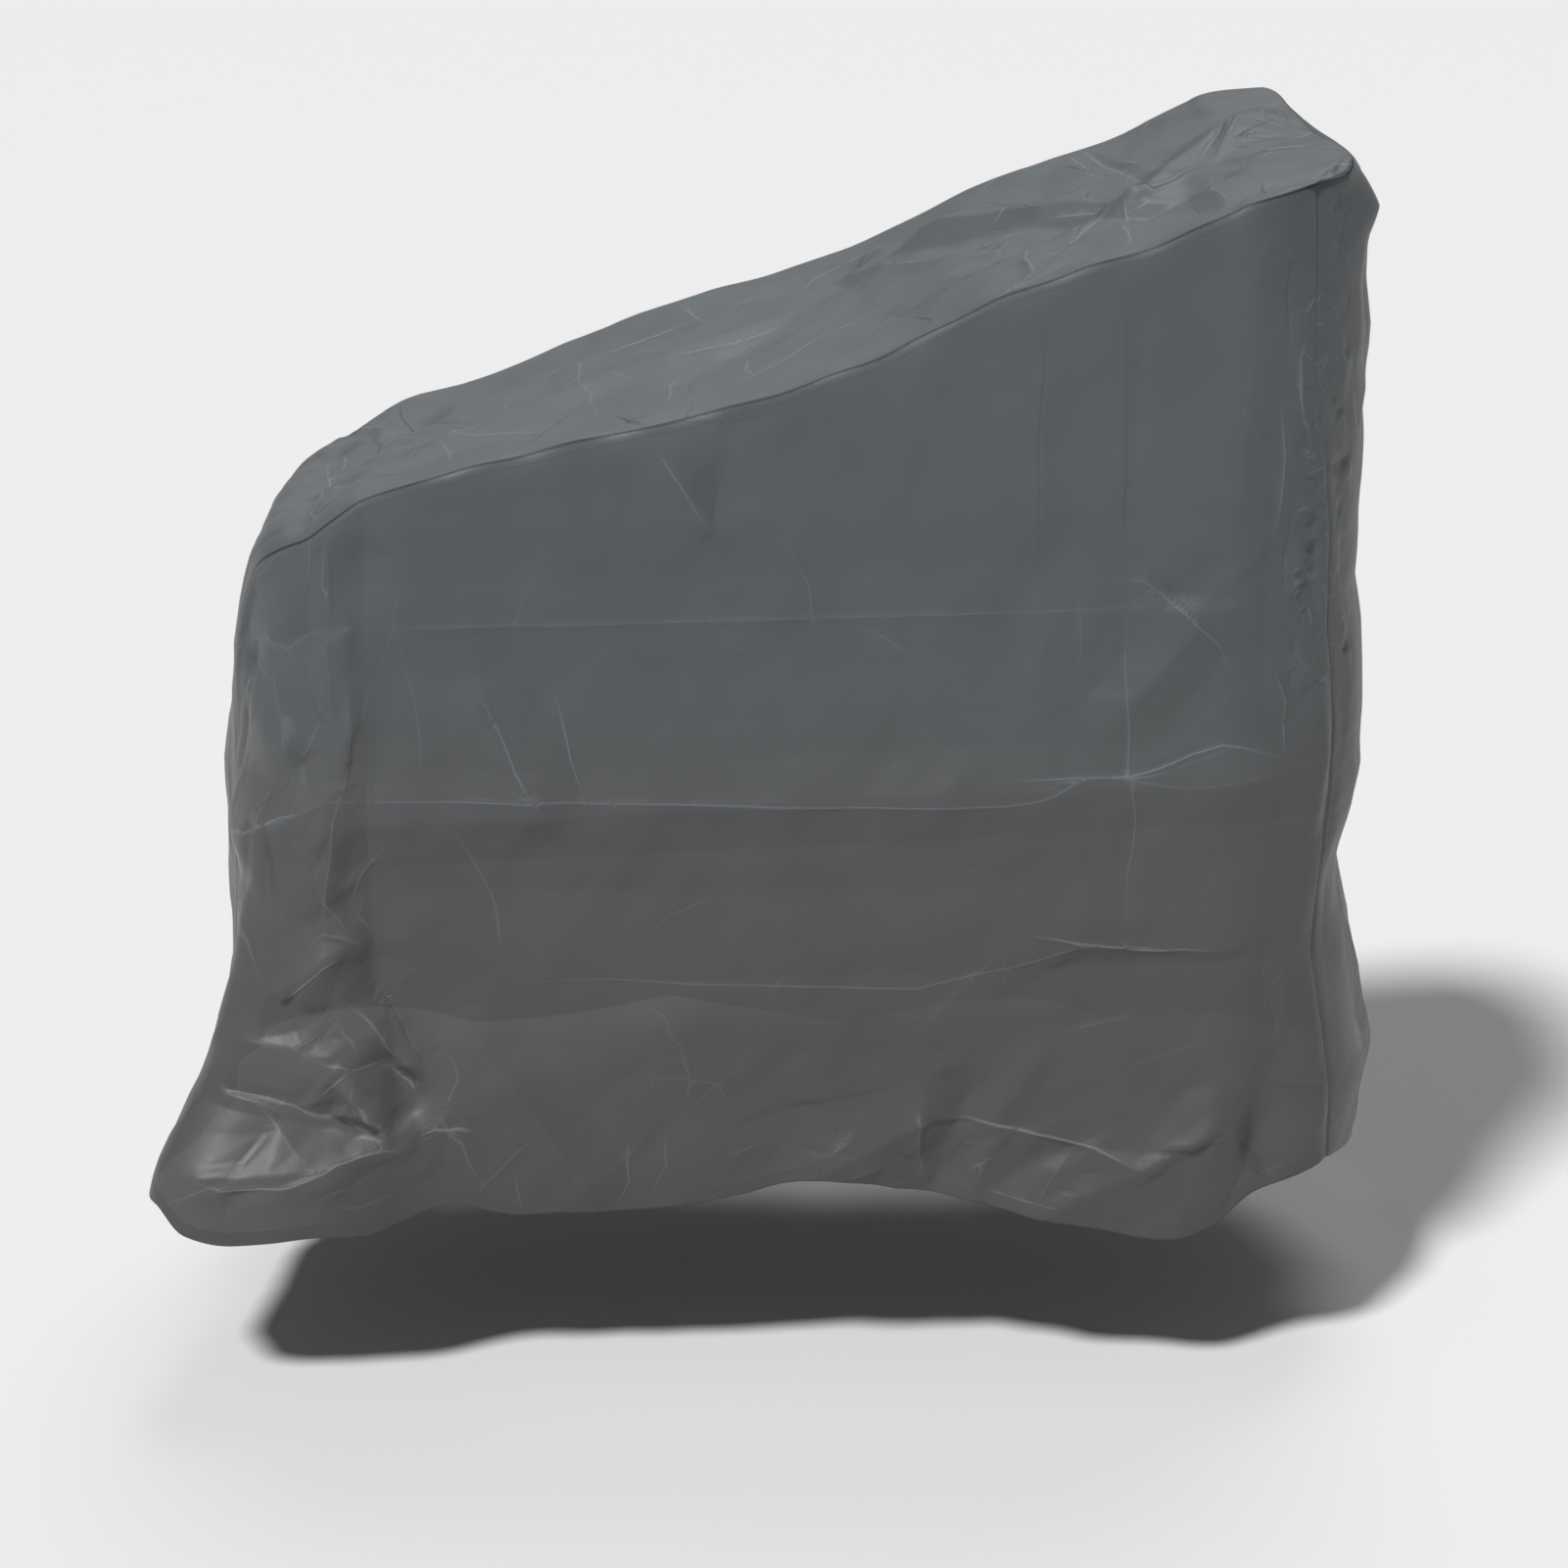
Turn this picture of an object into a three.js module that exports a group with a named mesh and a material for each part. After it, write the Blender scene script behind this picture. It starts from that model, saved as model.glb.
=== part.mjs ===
// Cover for an exercise bike: thin coated cloth sewn from four panels and hanging in folds.
// Millimetres, +Z up, +X towards the front of the bike, +Y away from the near side.
// Heights and places are drawn first in the hem's frame, where z is 0 at the level of the lowest hem,
// x is 0 midway along the bike and y is 0 on the flat of the near side. HANG_POINT then becomes the origin.
import * as THREE from 'three';

// Cloth and seams
const CLOTH_THICKNESS = 2;
const SEAM_PULL = 0.4; // each panel's edge stops this far short of the seam line
const HANG_POINT = { x: 0, y: 250, z: 884 }; // just under the top, midway along

// Plan outline: flat sides joined by quarter ellipses at the corners
const WIDTH = 500;
const SIDE_REAR_X = -400;
const SIDE_FRONT_X = 420;
const CORNER_DEPTH = 180;
const REAR_CORNER_LENGTH = 157;
const FRONT_CORNER_LENGTH = 142;
const REAR_SEAM_ANGLE = 62; // degrees round the corner from the flat side

// Grid of the panels
const REAR_COLUMNS = 8;
const FLAT_COLUMNS = 24;
const FRONT_COLUMNS = 6;
const COLUMNS = REAR_COLUMNS + FLAT_COLUMNS + FRONT_COLUMNS;
const ROWS = 30;
const STRIP_COLUMNS = 12;

// How far round the front corner the upright front seam lies, by height
const FRONT_SEAM_SWING = [
  { z: 0, angle: 46 }, { z: 400, angle: 47 }, { z: 700, angle: 47 },
  { z: 790, angle: 42 }, { z: 880, angle: 36 }, { z: 1050, angle: 40 },
];

// Height of the near side's top seam along the side, down the rear shoulder on the left
const TOP_SEAM = [
  { x: -539, z: 588 }, { x: -527, z: 640 }, { x: -508, z: 690 }, { x: -480, z: 712 },
  { x: -455, z: 724 }, { x: -430, z: 744 }, { x: -404, z: 762 }, { x: -368, z: 775 },
  { x: -314, z: 791 }, { x: -198, z: 819 }, { x: -106, z: 839 }, { x: -7, z: 865 },
  { x: 89, z: 900 }, { x: 199, z: 954 }, { x: 279, z: 983 }, { x: 344, z: 1003 },
  { x: 400, z: 1028 }, { x: 440, z: 1044 }, { x: 515, z: 1055 },
];

// How much higher the far side's top seam lies
const FAR_SEAM_LIFT = [
  { x: -539, lift: 0 }, { x: -420, lift: -8 }, { x: -334, lift: -14 }, { x: -222, lift: 5 },
  { x: -73, lift: 26 }, { x: 267, lift: 28 }, { x: 461, lift: 36 }, { x: 515, lift: 35 },
];

// Hem heights along each panel
const NEAR_HEM = [
  { x: -539, z: 62 }, { x: -511, z: 60 }, { x: -497, z: 34 }, { x: -480, z: 25 },
  { x: -440, z: 31 }, { x: -410, z: 28 }, { x: -390, z: 34 }, { x: -335, z: 47 },
  { x: -260, z: 32 }, { x: -130, z: 36 }, { x: -50, z: 48 }, { x: 29, z: 68 },
  { x: 127, z: 54 }, { x: 258, z: 31 }, { x: 390, z: 12 }, { x: 430, z: 20 },
  { x: 468, z: 50 }, { x: 515, z: 72 },
];
const FAR_HEM = [
  { x: -539, z: 50 }, { x: -450, z: 38 }, { x: -300, z: 30 }, { x: -120, z: 48 },
  { x: 60, z: 34 }, { x: 230, z: 52 }, { x: 380, z: 28 }, { x: 515, z: 44 },
];
const FRONT_HEM = [
  { t: 0, z: 53 }, { t: 0.15, z: 46 }, { t: 0.3, z: 57 }, { t: 0.5, z: 50 },
  { t: 0.75, z: 60 }, { t: 1, z: 44 },
];
const REAR_HEM = [
  { t: 0, z: 62 }, { t: 0.3, z: 44 }, { t: 0.6, z: 54 }, { t: 1, z: 50 },
];

// How far the side stands out from the plan outline, one row for each upright section of the cloth.
// The near rear corner is kicked out at the hem, the front corner a little.
const PUSH_HEIGHTS = [0, 60, 130, 200, 300, 420, 520, 650, 850, 1050];
const NEAR_PUSH = [
  { x: -539, push: [100, 96, 70, 28, 14, 8, 4, 0, 0, 0] },
  { x: -511, push: [158, 150, 112, 72, 32, 14, 6, 0, 0, 0] },
  { x: -466, push: [104, 98, 74, 48, 24, 12, 6, 0, -4, -4] },
  { x: -400, push: [54, 48, 30, 12, 6, 4, 2, 0, -8, -10] },
  { x: -330, push: [30, 24, 12, 6, 4, 2, 2, 2, -8, -14] },
  { x: -200, push: [14, 12, 8, 6, 4, 4, 4, 2, -10, -18] },
  { x: 0, push: [6, 6, 8, 8, 6, 6, 4, 0, -10, -20] },
  { x: 200, push: [10, 8, 6, 4, 4, 6, 4, 0, -8, -20] },
  { x: 390, push: [34, 26, 12, 4, 0, 4, 2, 0, -8, -18] },
  { x: 469, push: [16, 18, 14, 6, -2, 6, 4, 0, -4, -16] },
  { x: 515, push: [26, 34, 34, 24, 6, 12, 16, 6, 2, -20] },
];
const FAR_PUSH = [
  { x: -539, push: [52, 48, 38, 26, 20, 14, 8, 0, 0, 0] },
  { x: -466, push: [44, 38, 26, 16, 12, 8, 4, 0, -4, -4] },
  { x: -330, push: [12, 14, 10, 8, 6, 4, 2, 2, -8, -14] },
  { x: -120, push: [24, 18, 10, 4, 0, 2, 4, 2, -10, -18] },
  { x: 90, push: [4, 6, 8, 8, 8, 4, 2, 0, -10, -20] },
  { x: 300, push: [26, 20, 10, 2, 0, 4, 6, 2, -8, -20] },
  { x: 515, push: [26, 30, 30, 22, 8, 10, 14, 6, 2, -20] },
];

// Middle line of the front panel and of the strip down the rear
const FRONT_LINE = [
  { z: 0, x: 588 }, { z: 50, x: 592 }, { z: 100, x: 597 }, { z: 145, x: 602 }, { z: 185, x: 593 },
  { z: 285, x: 576 }, { z: 361, x: 563 }, { z: 426, x: 576 }, { z: 510, x: 580 },
  { z: 593, x: 578 }, { z: 660, x: 574 }, { z: 745, x: 570 }, { z: 900, x: 567 },
  { z: 983, x: 568 }, { z: 1019, x: 573 }, { z: 1046, x: 572 }, { z: 1070, x: 556 },
];
const REAR_LINE = [
  { z: 0, x: -600 }, { z: 100, x: -596 }, { z: 150, x: -586 }, { z: 204, x: -576 },
  { z: 319, x: -570 }, { z: 426, x: -565 }, { z: 527, x: -560 }, { z: 600, x: -550 },
];

// The front cross seam from the near corner to the far one: how far it stands forward of the line
// between its ends, and above it. The near end puffs out into a dog-ear.
const CROSS_SEAM = [
  { t: 0, forward: 0, rise: 0 }, { t: 0.08, forward: 34, rise: 6 }, { t: 0.17, forward: 38, rise: 10 },
  { t: 0.3, forward: 28, rise: 4 }, { t: 0.5, forward: 20, rise: -8 }, { t: 0.75, forward: 12, rise: -6 },
  { t: 0.92, forward: 6, rise: 2 }, { t: 1, forward: 0, rise: 0 },
];
const CROSS_SEAM_REACH = 8; // columns over which the strip follows the cross seam

// Crown of the strip between its two seams, by place along the side
const STRIP_CROWN = [
  { x: -539, crown: 8 }, { x: -500, crown: 12 }, { x: -455, crown: 10 }, { x: -404, crown: 4 },
  { x: -200, crown: 3 }, { x: 0, crown: 4 }, { x: 250, crown: 5 }, { x: 515, crown: 3 },
];

// Main folds. Each runs from one point to another and stands out by height, or in if it is negative,
// over width to either side. On a side, u is x and w is height; on the strip's top, u is x and w is y;
// on the front panel and down the rear, u is y and w is height.
const NEAR_FOLDS = [
  { u1: -420, w1: 636, u2: 520, w2: 662, width: 46, height: 6 },
  { u1: -500, w1: 440, u2: 520, w2: 496, width: 46, height: 6 },
  { u1: -400, w1: 272, u2: 480, w2: 300, width: 50, height: -5 },
  { u1: 243, w1: 880, u2: 250, w2: 500, width: 42, height: 3 },
  { u1: 332, w1: 930, u2: 326, w2: 330, width: 44, height: -3 },
  { u1: -120, w1: 820, u2: -70, w2: 740, width: 46, height: 6 },
  { u1: -62, w1: 800, u2: -66, w2: 730, width: 40, height: -3 },
  { u1: -295, w1: 560, u2: -230, w2: 455, width: 42, height: 5 },
  { u1: -260, w1: 640, u2: -190, w2: 465, width: 36, height: -3 },
  { u1: -404, w1: 700, u2: -404, w2: 320, width: 34, height: -3 },
  { u1: -494, w1: 258, u2: -430, w2: 312, width: 38, height: 12 },
  { u1: -440, w1: 350, u2: -400, w2: 300, width: 34, height: -6 },
  { u1: -494, w1: 256, u2: -467, w2: 208, width: 36, height: -8 },
  { u1: -432, w1: 262, u2: -372, w2: 195, width: 38, height: 10 },
  { u1: -530, w1: 232, u2: -431, w2: 198, width: 44, height: 10 },
  { u1: -545, w1: 168, u2: -395, w2: 120, width: 48, height: -12 },
  { u1: -429, w1: 196, u2: -395, w2: 122, width: 32, height: 12 },
  { u1: -396, w1: 200, u2: -362, w2: 155, width: 32, height: -10 },
  { u1: -565, w1: 86, u2: -372, w2: 108, width: 36, height: 8 },
  { u1: -300, w1: 210, u2: -200, w2: 70, width: 46, height: 11 },
  { u1: 30, w1: 70, u2: 140, w2: 130, width: 46, height: 10 },
  { u1: 150, w1: 60, u2: 180, w2: 150, width: 40, height: -10 },
  { u1: 250, w1: 30, u2: 420, w2: 120, width: 50, height: 13 },
  { u1: 440, w1: 30, u2: 500, w2: 170, width: 40, height: -13 },
  { u1: 395, w1: 640, u2: 330, w2: 560, width: 40, height: 8 },
  { u1: 480, w1: 980, u2: 460, w2: 560, width: 36, height: -4 },
];
const FAR_FOLDS = [
  { u1: -500, w1: 600, u2: 520, w2: 650, width: 46, height: 6 },
  { u1: -500, w1: 455, u2: 520, w2: 470, width: 46, height: -6 },
  { u1: -480, w1: 275, u2: 500, w2: 282, width: 50, height: 5 },
  { u1: -60, w1: 850, u2: -70, w2: 120, width: 46, height: 8 },
  { u1: 210, w1: 950, u2: 205, w2: 160, width: 46, height: -8 },
  { u1: -380, w1: 740, u2: -300, w2: 480, width: 56, height: 14 },
  { u1: -230, w1: 330, u2: -120, w2: 30, width: 66, height: 20 },
  { u1: -340, w1: 260, u2: -360, w2: 20, width: 56, height: -16 },
  { u1: 300, w1: 30, u2: 380, w2: 330, width: 66, height: 20 },
  { u1: 60, w1: 40, u2: 110, w2: 300, width: 60, height: -16 },
  { u1: 430, w1: 40, u2: 455, w2: 380, width: 52, height: -14 },
  { u1: 420, w1: 990, u2: 330, w2: 760, width: 50, height: 12 },
  { u1: 60, w1: 800, u2: 130, w2: 560, width: 54, height: -9 },
];
const TOP_FOLDS = [
  { u1: -330, w1: 150, u2: 210, w2: 330, width: 50, height: 8 },
  { u1: -120, w1: 120, u2: 60, w2: 300, width: 46, height: -6 },
  { u1: 150, w1: 330, u2: 345, w2: 170, width: 40, height: 11 },
  { u1: 345, w1: 170, u2: 470, w2: 330, width: 42, height: 13 },
  { u1: 200, w1: 150, u2: 330, w2: 190, width: 36, height: -10 },
  { u1: 350, w1: 130, u2: 510, w2: 200, width: 40, height: -10 },
  { u1: -460, w1: 190, u2: -380, w2: 330, width: 44, height: -10 },
  { u1: -300, w1: 400, u2: 60, w2: 380, width: 46, height: -6 },
];
const FRONT_FOLDS = [
  { u1: 60, w1: 1070, u2: 112, w2: 1020, width: 56, height: 18 },
  { u1: 130, w1: 900, u2: 400, w2: 905, width: 46, height: 8 },
  { u1: 100, w1: 650, u2: 410, w2: 660, width: 46, height: -6 },
  { u1: 110, w1: 460, u2: 400, w2: 455, width: 46, height: 8 },
  { u1: 235, w1: 1000, u2: 225, w2: 520, width: 56, height: -12 },
  { u1: 330, w1: 860, u2: 345, w2: 420, width: 52, height: 9 },
  { u1: 160, w1: 1030, u2: 130, w2: 880, width: 40, height: -12 },
  { u1: 175, w1: 30, u2: 200, w2: 360, width: 52, height: 8 },
  { u1: 255, w1: 30, u2: 265, w2: 240, width: 48, height: -16 },
  { u1: 345, w1: 30, u2: 320, w2: 300, width: 52, height: 10 },
];
const REAR_FOLDS = [
  { u1: 140, w1: 460, u2: 380, w2: 455, width: 46, height: 8 },
  { u1: 250, w1: 560, u2: 230, w2: 40, width: 60, height: -15 },
  { u1: 330, w1: 30, u2: 350, w2: 320, width: 52, height: 10 },
  { u1: 400, w1: 30, u2: 410, w2: 220, width: 44, height: -12 },
  { u1: 140, w1: 270, u2: 360, w2: 280, width: 46, height: -6 },
];
const FOLD_FADE = 60; // folds die out over this distance before a seam

// Round form of the front panel and of the strip from side to side
const ARCH_SHOULDER = 0.33; // share of the width that each rounded end takes
const ARCH_POWER = 2.2;
const SLOPE_STEP = 0.25; // columns to either side over which the strip's slope is taken
const FRONT_BLEND_ROWS = 2; // rows over which the front panel leaves the cross seam
const REAR_BLEND_ROWS = 5; // rows over which the strip turns down the rear

const clamp01 = (value) => Math.min(1, Math.max(0, value));
const mix = (a, b, share) => a + (b - a) * share;
const radians = (degrees) => (degrees * Math.PI) / 180;

// Smooth curve through rows of a table that never swings past its rows
function smoothTable(rows, key, value) {
  const count = rows.length;
  const xs = rows.map((row) => row[key]);
  const ys = rows.map((row) => row[value]);
  const steps = xs.slice(1).map((x, i) => x - xs[i]);
  const slopes = steps.map((step, i) => (ys[i + 1] - ys[i]) / step);
  const tangents = xs.map((_, i) => {
    if (i === 0) return slopes[0];
    if (i === count - 1) return slopes[count - 2];
    if (slopes[i - 1] * slopes[i] <= 0) return 0;
    const before = 2 * steps[i] + steps[i - 1];
    const after = steps[i] + 2 * steps[i - 1];
    return (before + after) / (before / slopes[i - 1] + after / slopes[i]);
  });
  return (x) => {
    if (x <= xs[0]) return ys[0];
    if (x >= xs[count - 1]) return ys[count - 1];
    let i = 0;
    while (x > xs[i + 1]) i += 1;
    const step = steps[i];
    const s = (x - xs[i]) / step;
    const rise = s * s * (3 - 2 * s);
    const leave = s * (1 - s) * (1 - s) * step * tangents[i];
    const arrive = s * s * (s - 1) * step * tangents[i + 1];
    return mix(ys[i], ys[i + 1], rise) + leave + arrive;
  };
}

const frontSeamAngle = smoothTable(FRONT_SEAM_SWING, 'z', 'angle');
const topSeam = smoothTable(TOP_SEAM, 'x', 'z');
const farSeamLift = smoothTable(FAR_SEAM_LIFT, 'x', 'lift');
const frontHem = smoothTable(FRONT_HEM, 't', 'z');
const rearHem = smoothTable(REAR_HEM, 't', 'z');
const frontLine = smoothTable(FRONT_LINE, 'z', 'x');
const rearLine = smoothTable(REAR_LINE, 'z', 'x');
const crossSeamForward = smoothTable(CROSS_SEAM, 't', 'forward');
const crossSeamRise = smoothTable(CROSS_SEAM, 't', 'rise');
const stripCrown = smoothTable(STRIP_CROWN, 'x', 'crown');

// Push of a side by place along it and height, smooth both ways
function pushTable(rows) {
  const sections = rows.map((row) => {
    const section = PUSH_HEIGHTS.map((z, i) => ({ z, push: row.push[i] }));
    return { x: row.x, at: smoothTable(section, 'z', 'push') };
  });
  return (x, z) => {
    const level = sections.map((section) => ({ x: section.x, push: section.at(z) }));
    return smoothTable(level, 'x', 'push')(x);
  };
}

// Height of all folds of a panel at one of its points
function foldHeight(folds, u, w) {
  let total = 0;
  for (const fold of folds) {
    const du = fold.u2 - fold.u1;
    const dw = fold.w2 - fold.w1;
    const lengthSquared = du * du + dw * dw;
    const along = ((u - fold.u1) * du + (w - fold.w1) * dw) / lengthSquared;
    const nearest = clamp01(along);
    const off = Math.hypot(u - fold.u1 - nearest * du, w - fold.w1 - nearest * dw);
    if (off < fold.width) total += fold.height * Math.cos((off / fold.width) * (Math.PI / 2)) ** 2;
  }
  return total;
}

const fadeFromSeam = (distance) => {
  const share = clamp01(distance / FOLD_FADE);
  return share * share * (3 - 2 * share);
};

// 0 at both ends and 1 over the middle, round like the corners of the plan
function arch(t) {
  const fromEnd = Math.min(t, 1 - t) / ARCH_SHOULDER;
  return fromEnd >= 1 ? 1 : 1 - (1 - fromEnd) ** ARCH_POWER;
}

// Point of the plan outline of the near side at a column and height, with its outward direction
function sidePlan(column, z) {
  if (column < REAR_COLUMNS) {
    const angle = radians(REAR_SEAM_ANGLE * (1 - column / REAR_COLUMNS));
    return cornerPlan(SIDE_REAR_X, -REAR_CORNER_LENGTH, angle);
  }
  if (column <= REAR_COLUMNS + FLAT_COLUMNS) {
    const x = mix(SIDE_REAR_X, SIDE_FRONT_X, (column - REAR_COLUMNS) / FLAT_COLUMNS);
    return { x, y: 0, outX: 0, outY: -1 };
  }
  const share = (column - REAR_COLUMNS - FLAT_COLUMNS) / FRONT_COLUMNS;
  return cornerPlan(SIDE_FRONT_X, FRONT_CORNER_LENGTH, radians(frontSeamAngle(z) * share));
}

function cornerPlan(startX, length, angle) {
  const out = new THREE.Vector2(Math.sin(angle) * CORNER_DEPTH * Math.sign(length),
    -Math.cos(angle) * Math.abs(length)).normalize();
  return {
    x: startX + length * Math.sin(angle),
    y: CORNER_DEPTH * (1 - Math.cos(angle)),
    outX: out.x,
    outY: out.y,
  };
}

// One side of the cover. Both are drawn as the near side, then the far one is turned over in y.
function makeSide({ lift, hem, pushRows, folds, far }) {
  const hemHeight = smoothTable(hem, 'x', 'z');
  const push = pushTable(pushRows);
  return (column, row) => {
    const base = sidePlan(column, 0);
    const topZ = topSeam(base.x) + lift(base.x);
    const z = mix(topZ, hemHeight(base.x), row / ROWS);
    const plan = sidePlan(column, z);
    const fromSeams = Math.min(topZ - z, plan.x - sidePlan(0, z).x, sidePlan(COLUMNS, z).x - plan.x);
    const fold = foldHeight(folds, plan.x, z) * fadeFromSeam(fromSeams);
    const out = push(plan.x, z) + fold;
    const y = plan.y + plan.outY * out;
    return new THREE.Vector3(plan.x + plan.outX * out, far ? WIDTH - y : y, z);
  };
}

const nearSide = makeSide({
  lift: () => 0, hem: NEAR_HEM, pushRows: NEAR_PUSH, folds: NEAR_FOLDS, far: false,
});
const farSide = makeSide({
  lift: farSeamLift, hem: FAR_HEM, pushRows: FAR_PUSH, folds: FAR_FOLDS, far: true,
});

// Seam between the strip's front end and the front panel
function crossSeam(t) {
  const point = nearSide(COLUMNS, 0).lerp(farSide(COLUMNS, 0), t);
  point.x += crossSeamForward(t);
  point.z += crossSeamRise(t);
  return point;
}

// The strip over the top: a chord between the two seams, crowned outwards
function stripChord(column, t) {
  const ahead = Math.min(COLUMNS, column + SLOPE_STEP);
  const behind = Math.max(0, column - SLOPE_STEP);
  const chord = farSide(column, 0).sub(nearSide(column, 0));
  const along = nearSide(ahead, 0).add(farSide(ahead, 0)).sub(nearSide(behind, 0)).sub(farSide(behind, 0));
  const out = along.cross(chord).normalize();
  const place = sidePlan(column, 0).x;
  const point = nearSide(column, 0).lerp(farSide(column, 0), t);
  const fromSeams = Math.min(t, 1 - t) * chord.length();
  const fold = foldHeight(TOP_FOLDS, point.x, point.y) * fadeFromSeam(fromSeams);
  return point.addScaledVector(out, stripCrown(place) * arch(t) + fold);
}

function stripTop(column, t) {
  const point = stripChord(column, t);
  const toFront = clamp01((column - (COLUMNS - CROSS_SEAM_REACH)) / CROSS_SEAM_REACH);
  const follow = toFront * toFront * (3 - 2 * toFront);
  const shift = crossSeam(t).sub(stripChord(COLUMNS, t));
  return point.addScaledVector(shift, follow);
}

// A panel between the near and the far upright seam, bowed out to a middle line
function uprightPanel({ column, direction, middle, hem, folds, firstRow, blendRows }) {
  return (row, t) => {
    const near = nearSide(column, row);
    const far = farSide(column, row);
    const point = near.clone().lerp(far, t);
    point.z += (hem(t) - mix(hem(0), hem(1), t)) * (row / ROWS);
    const bow = middle(point.z) - (near.x + far.x) / 2;
    const start = firstRow(t).sub(nearSide(column, 0).lerp(farSide(column, 0), t));
    const settled = Math.min(1, row / blendRows);
    const fade = fadeFromSeam(Math.min(t, 1 - t) * (far.y - near.y)) * settled;
    point.x += bow * arch(t) * settled;
    point.x += direction * foldHeight(folds, point.y, point.z) * fade;
    return point.addScaledVector(start, 1 - settled);
  };
}

const frontUpright = uprightPanel({
  column: COLUMNS, direction: 1, middle: frontLine, hem: frontHem, folds: FRONT_FOLDS,
  firstRow: crossSeam, blendRows: FRONT_BLEND_ROWS,
});
const rearUpright = uprightPanel({
  column: 0, direction: -1, middle: rearLine, hem: rearHem, folds: REAR_FOLDS,
  firstRow: (t) => stripTop(0, t), blendRows: REAR_BLEND_ROWS,
});

// Grids of points, each an array of rows that run the same way round on the outside
const gridOf = (rowCount, columnCount, pointAt) => {
  const rows = [];
  for (let i = 0; i <= rowCount; i += 1) {
    const row = [];
    for (let j = 0; j <= columnCount; j += 1) row.push(pointAt(i, j));
    rows.push(row);
  }
  return rows;
};
const share = (j) => j / STRIP_COLUMNS;
const stripPoint = (i, j) => {
  if (i <= COLUMNS) return stripTop(COLUMNS - i, share(j));
  return rearUpright(i - COLUMNS, share(j));
};
const panels = [
  { name: 'near_side_panel', colour: '#55585a', grid: gridOf(ROWS, COLUMNS, (i, j) => nearSide(j, i)) },
  { name: 'far_side_panel', colour: '#53565a', grid: gridOf(ROWS, COLUMNS, (i, j) => farSide(COLUMNS - j, i)) },
  { name: 'top_and_rear_strip', colour: '#696d70', grid: gridOf(COLUMNS + ROWS, STRIP_COLUMNS, stripPoint) },
  { name: 'front_panel', colour: '#4d4f50', grid: gridOf(ROWS, STRIP_COLUMNS, (i, j) => frontUpright(i, share(j))) },
];

// The strip's rows run from front to rear, so seen from outside its columns run the other way
const TURNED = new Set(['top_and_rear_strip']);
for (const panel of panels) {
  if (TURNED.has(panel.name)) panel.grid = panel.grid.map((row) => [...row].reverse());
}

const placeKey = (point) => point.toArray().map((value) => value.toFixed(3)).join(' ');

// Outward direction at every point, averaged over all the panels that meet there, so that both
// panels of a seam share one mitre
function outwardDirections() {
  const sums = new Map();
  const edgeA = new THREE.Vector3();
  const edgeB = new THREE.Vector3();
  for (const { grid } of panels) {
    for (let i = 0; i + 1 < grid.length; i += 1) {
      for (let j = 0; j + 1 < grid[0].length; j += 1) {
        const corners = [grid[i][j], grid[i + 1][j], grid[i + 1][j + 1], grid[i][j + 1]];
        edgeA.subVectors(corners[2], corners[0]);
        edgeB.subVectors(corners[3], corners[1]);
        const normal = new THREE.Vector3().crossVectors(edgeA, edgeB);
        for (const corner of corners) {
          const key = placeKey(corner);
          if (!sums.has(key)) sums.set(key, new THREE.Vector3());
          sums.get(key).add(normal);
        }
      }
    }
  }
  for (const sum of sums.values()) sum.normalize();
  return sums;
}

const outward = outwardDirections();

// How a point on a panel's edge is drawn in, away from the seam and along the cloth
function edgePull(grid, i, j, openEdges) {
  const lastRow = grid.length - 1;
  const lastColumn = grid[0].length - 1;
  const pull = new THREE.Vector3();
  const towards = (a, b) => new THREE.Vector3().subVectors(grid[a][b], grid[i][j]).normalize();
  if (i === 0) pull.add(towards(1, j));
  if (i === lastRow && !openEdges.lastRow) pull.add(towards(lastRow - 1, j));
  if (j === 0) pull.add(towards(i, 1));
  if (j === lastColumn) pull.add(towards(i, lastColumn - 1));
  return pull.multiplyScalar(SEAM_PULL);
}

// Closed solid of a panel: an outer and an inner skin joined by a rim
function panelGeometry({ grid }) {
  const rowCount = grid.length;
  const columnCount = grid[0].length;
  const positions = [];
  for (const side of [1, -1]) {
    for (let i = 0; i < rowCount; i += 1) {
      for (let j = 0; j < columnCount; j += 1) {
        const point = grid[i][j].clone();
        point.addScaledVector(outward.get(placeKey(grid[i][j])), (side * CLOTH_THICKNESS) / 2);
        point.add(edgePull(grid, i, j, { lastRow: true }));
        positions.push(point.x - HANG_POINT.x, point.y - HANG_POINT.y, point.z - HANG_POINT.z);
      }
    }
  }
  const outer = (i, j) => i * columnCount + j;
  const inner = (i, j) => (rowCount + i) * columnCount + j;
  const faces = [];
  const quad = (a, b, c, d) => faces.push(a, b, c, a, c, d);
  for (let i = 0; i + 1 < rowCount; i += 1) {
    for (let j = 0; j + 1 < columnCount; j += 1) {
      quad(outer(i, j), outer(i + 1, j), outer(i + 1, j + 1), outer(i, j + 1));
      quad(inner(i, j), inner(i, j + 1), inner(i + 1, j + 1), inner(i + 1, j));
    }
  }
  const rim = [];
  for (let i = 0; i < rowCount; i += 1) rim.push([i, 0]);
  for (let j = 1; j < columnCount; j += 1) rim.push([rowCount - 1, j]);
  for (let i = rowCount - 2; i >= 0; i -= 1) rim.push([i, columnCount - 1]);
  for (let j = columnCount - 2; j > 0; j -= 1) rim.push([0, j]);
  rim.forEach(([i, j], index) => {
    const [nextI, nextJ] = rim[(index + 1) % rim.length];
    quad(outer(nextI, nextJ), outer(i, j), inner(i, j), inner(nextI, nextJ));
  });
  const geometry = new THREE.BufferGeometry();
  geometry.setAttribute('position', new THREE.Float32BufferAttribute(positions, 3));
  geometry.setIndex(faces);
  geometry.computeVertexNormals();
  return geometry;
}

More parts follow.
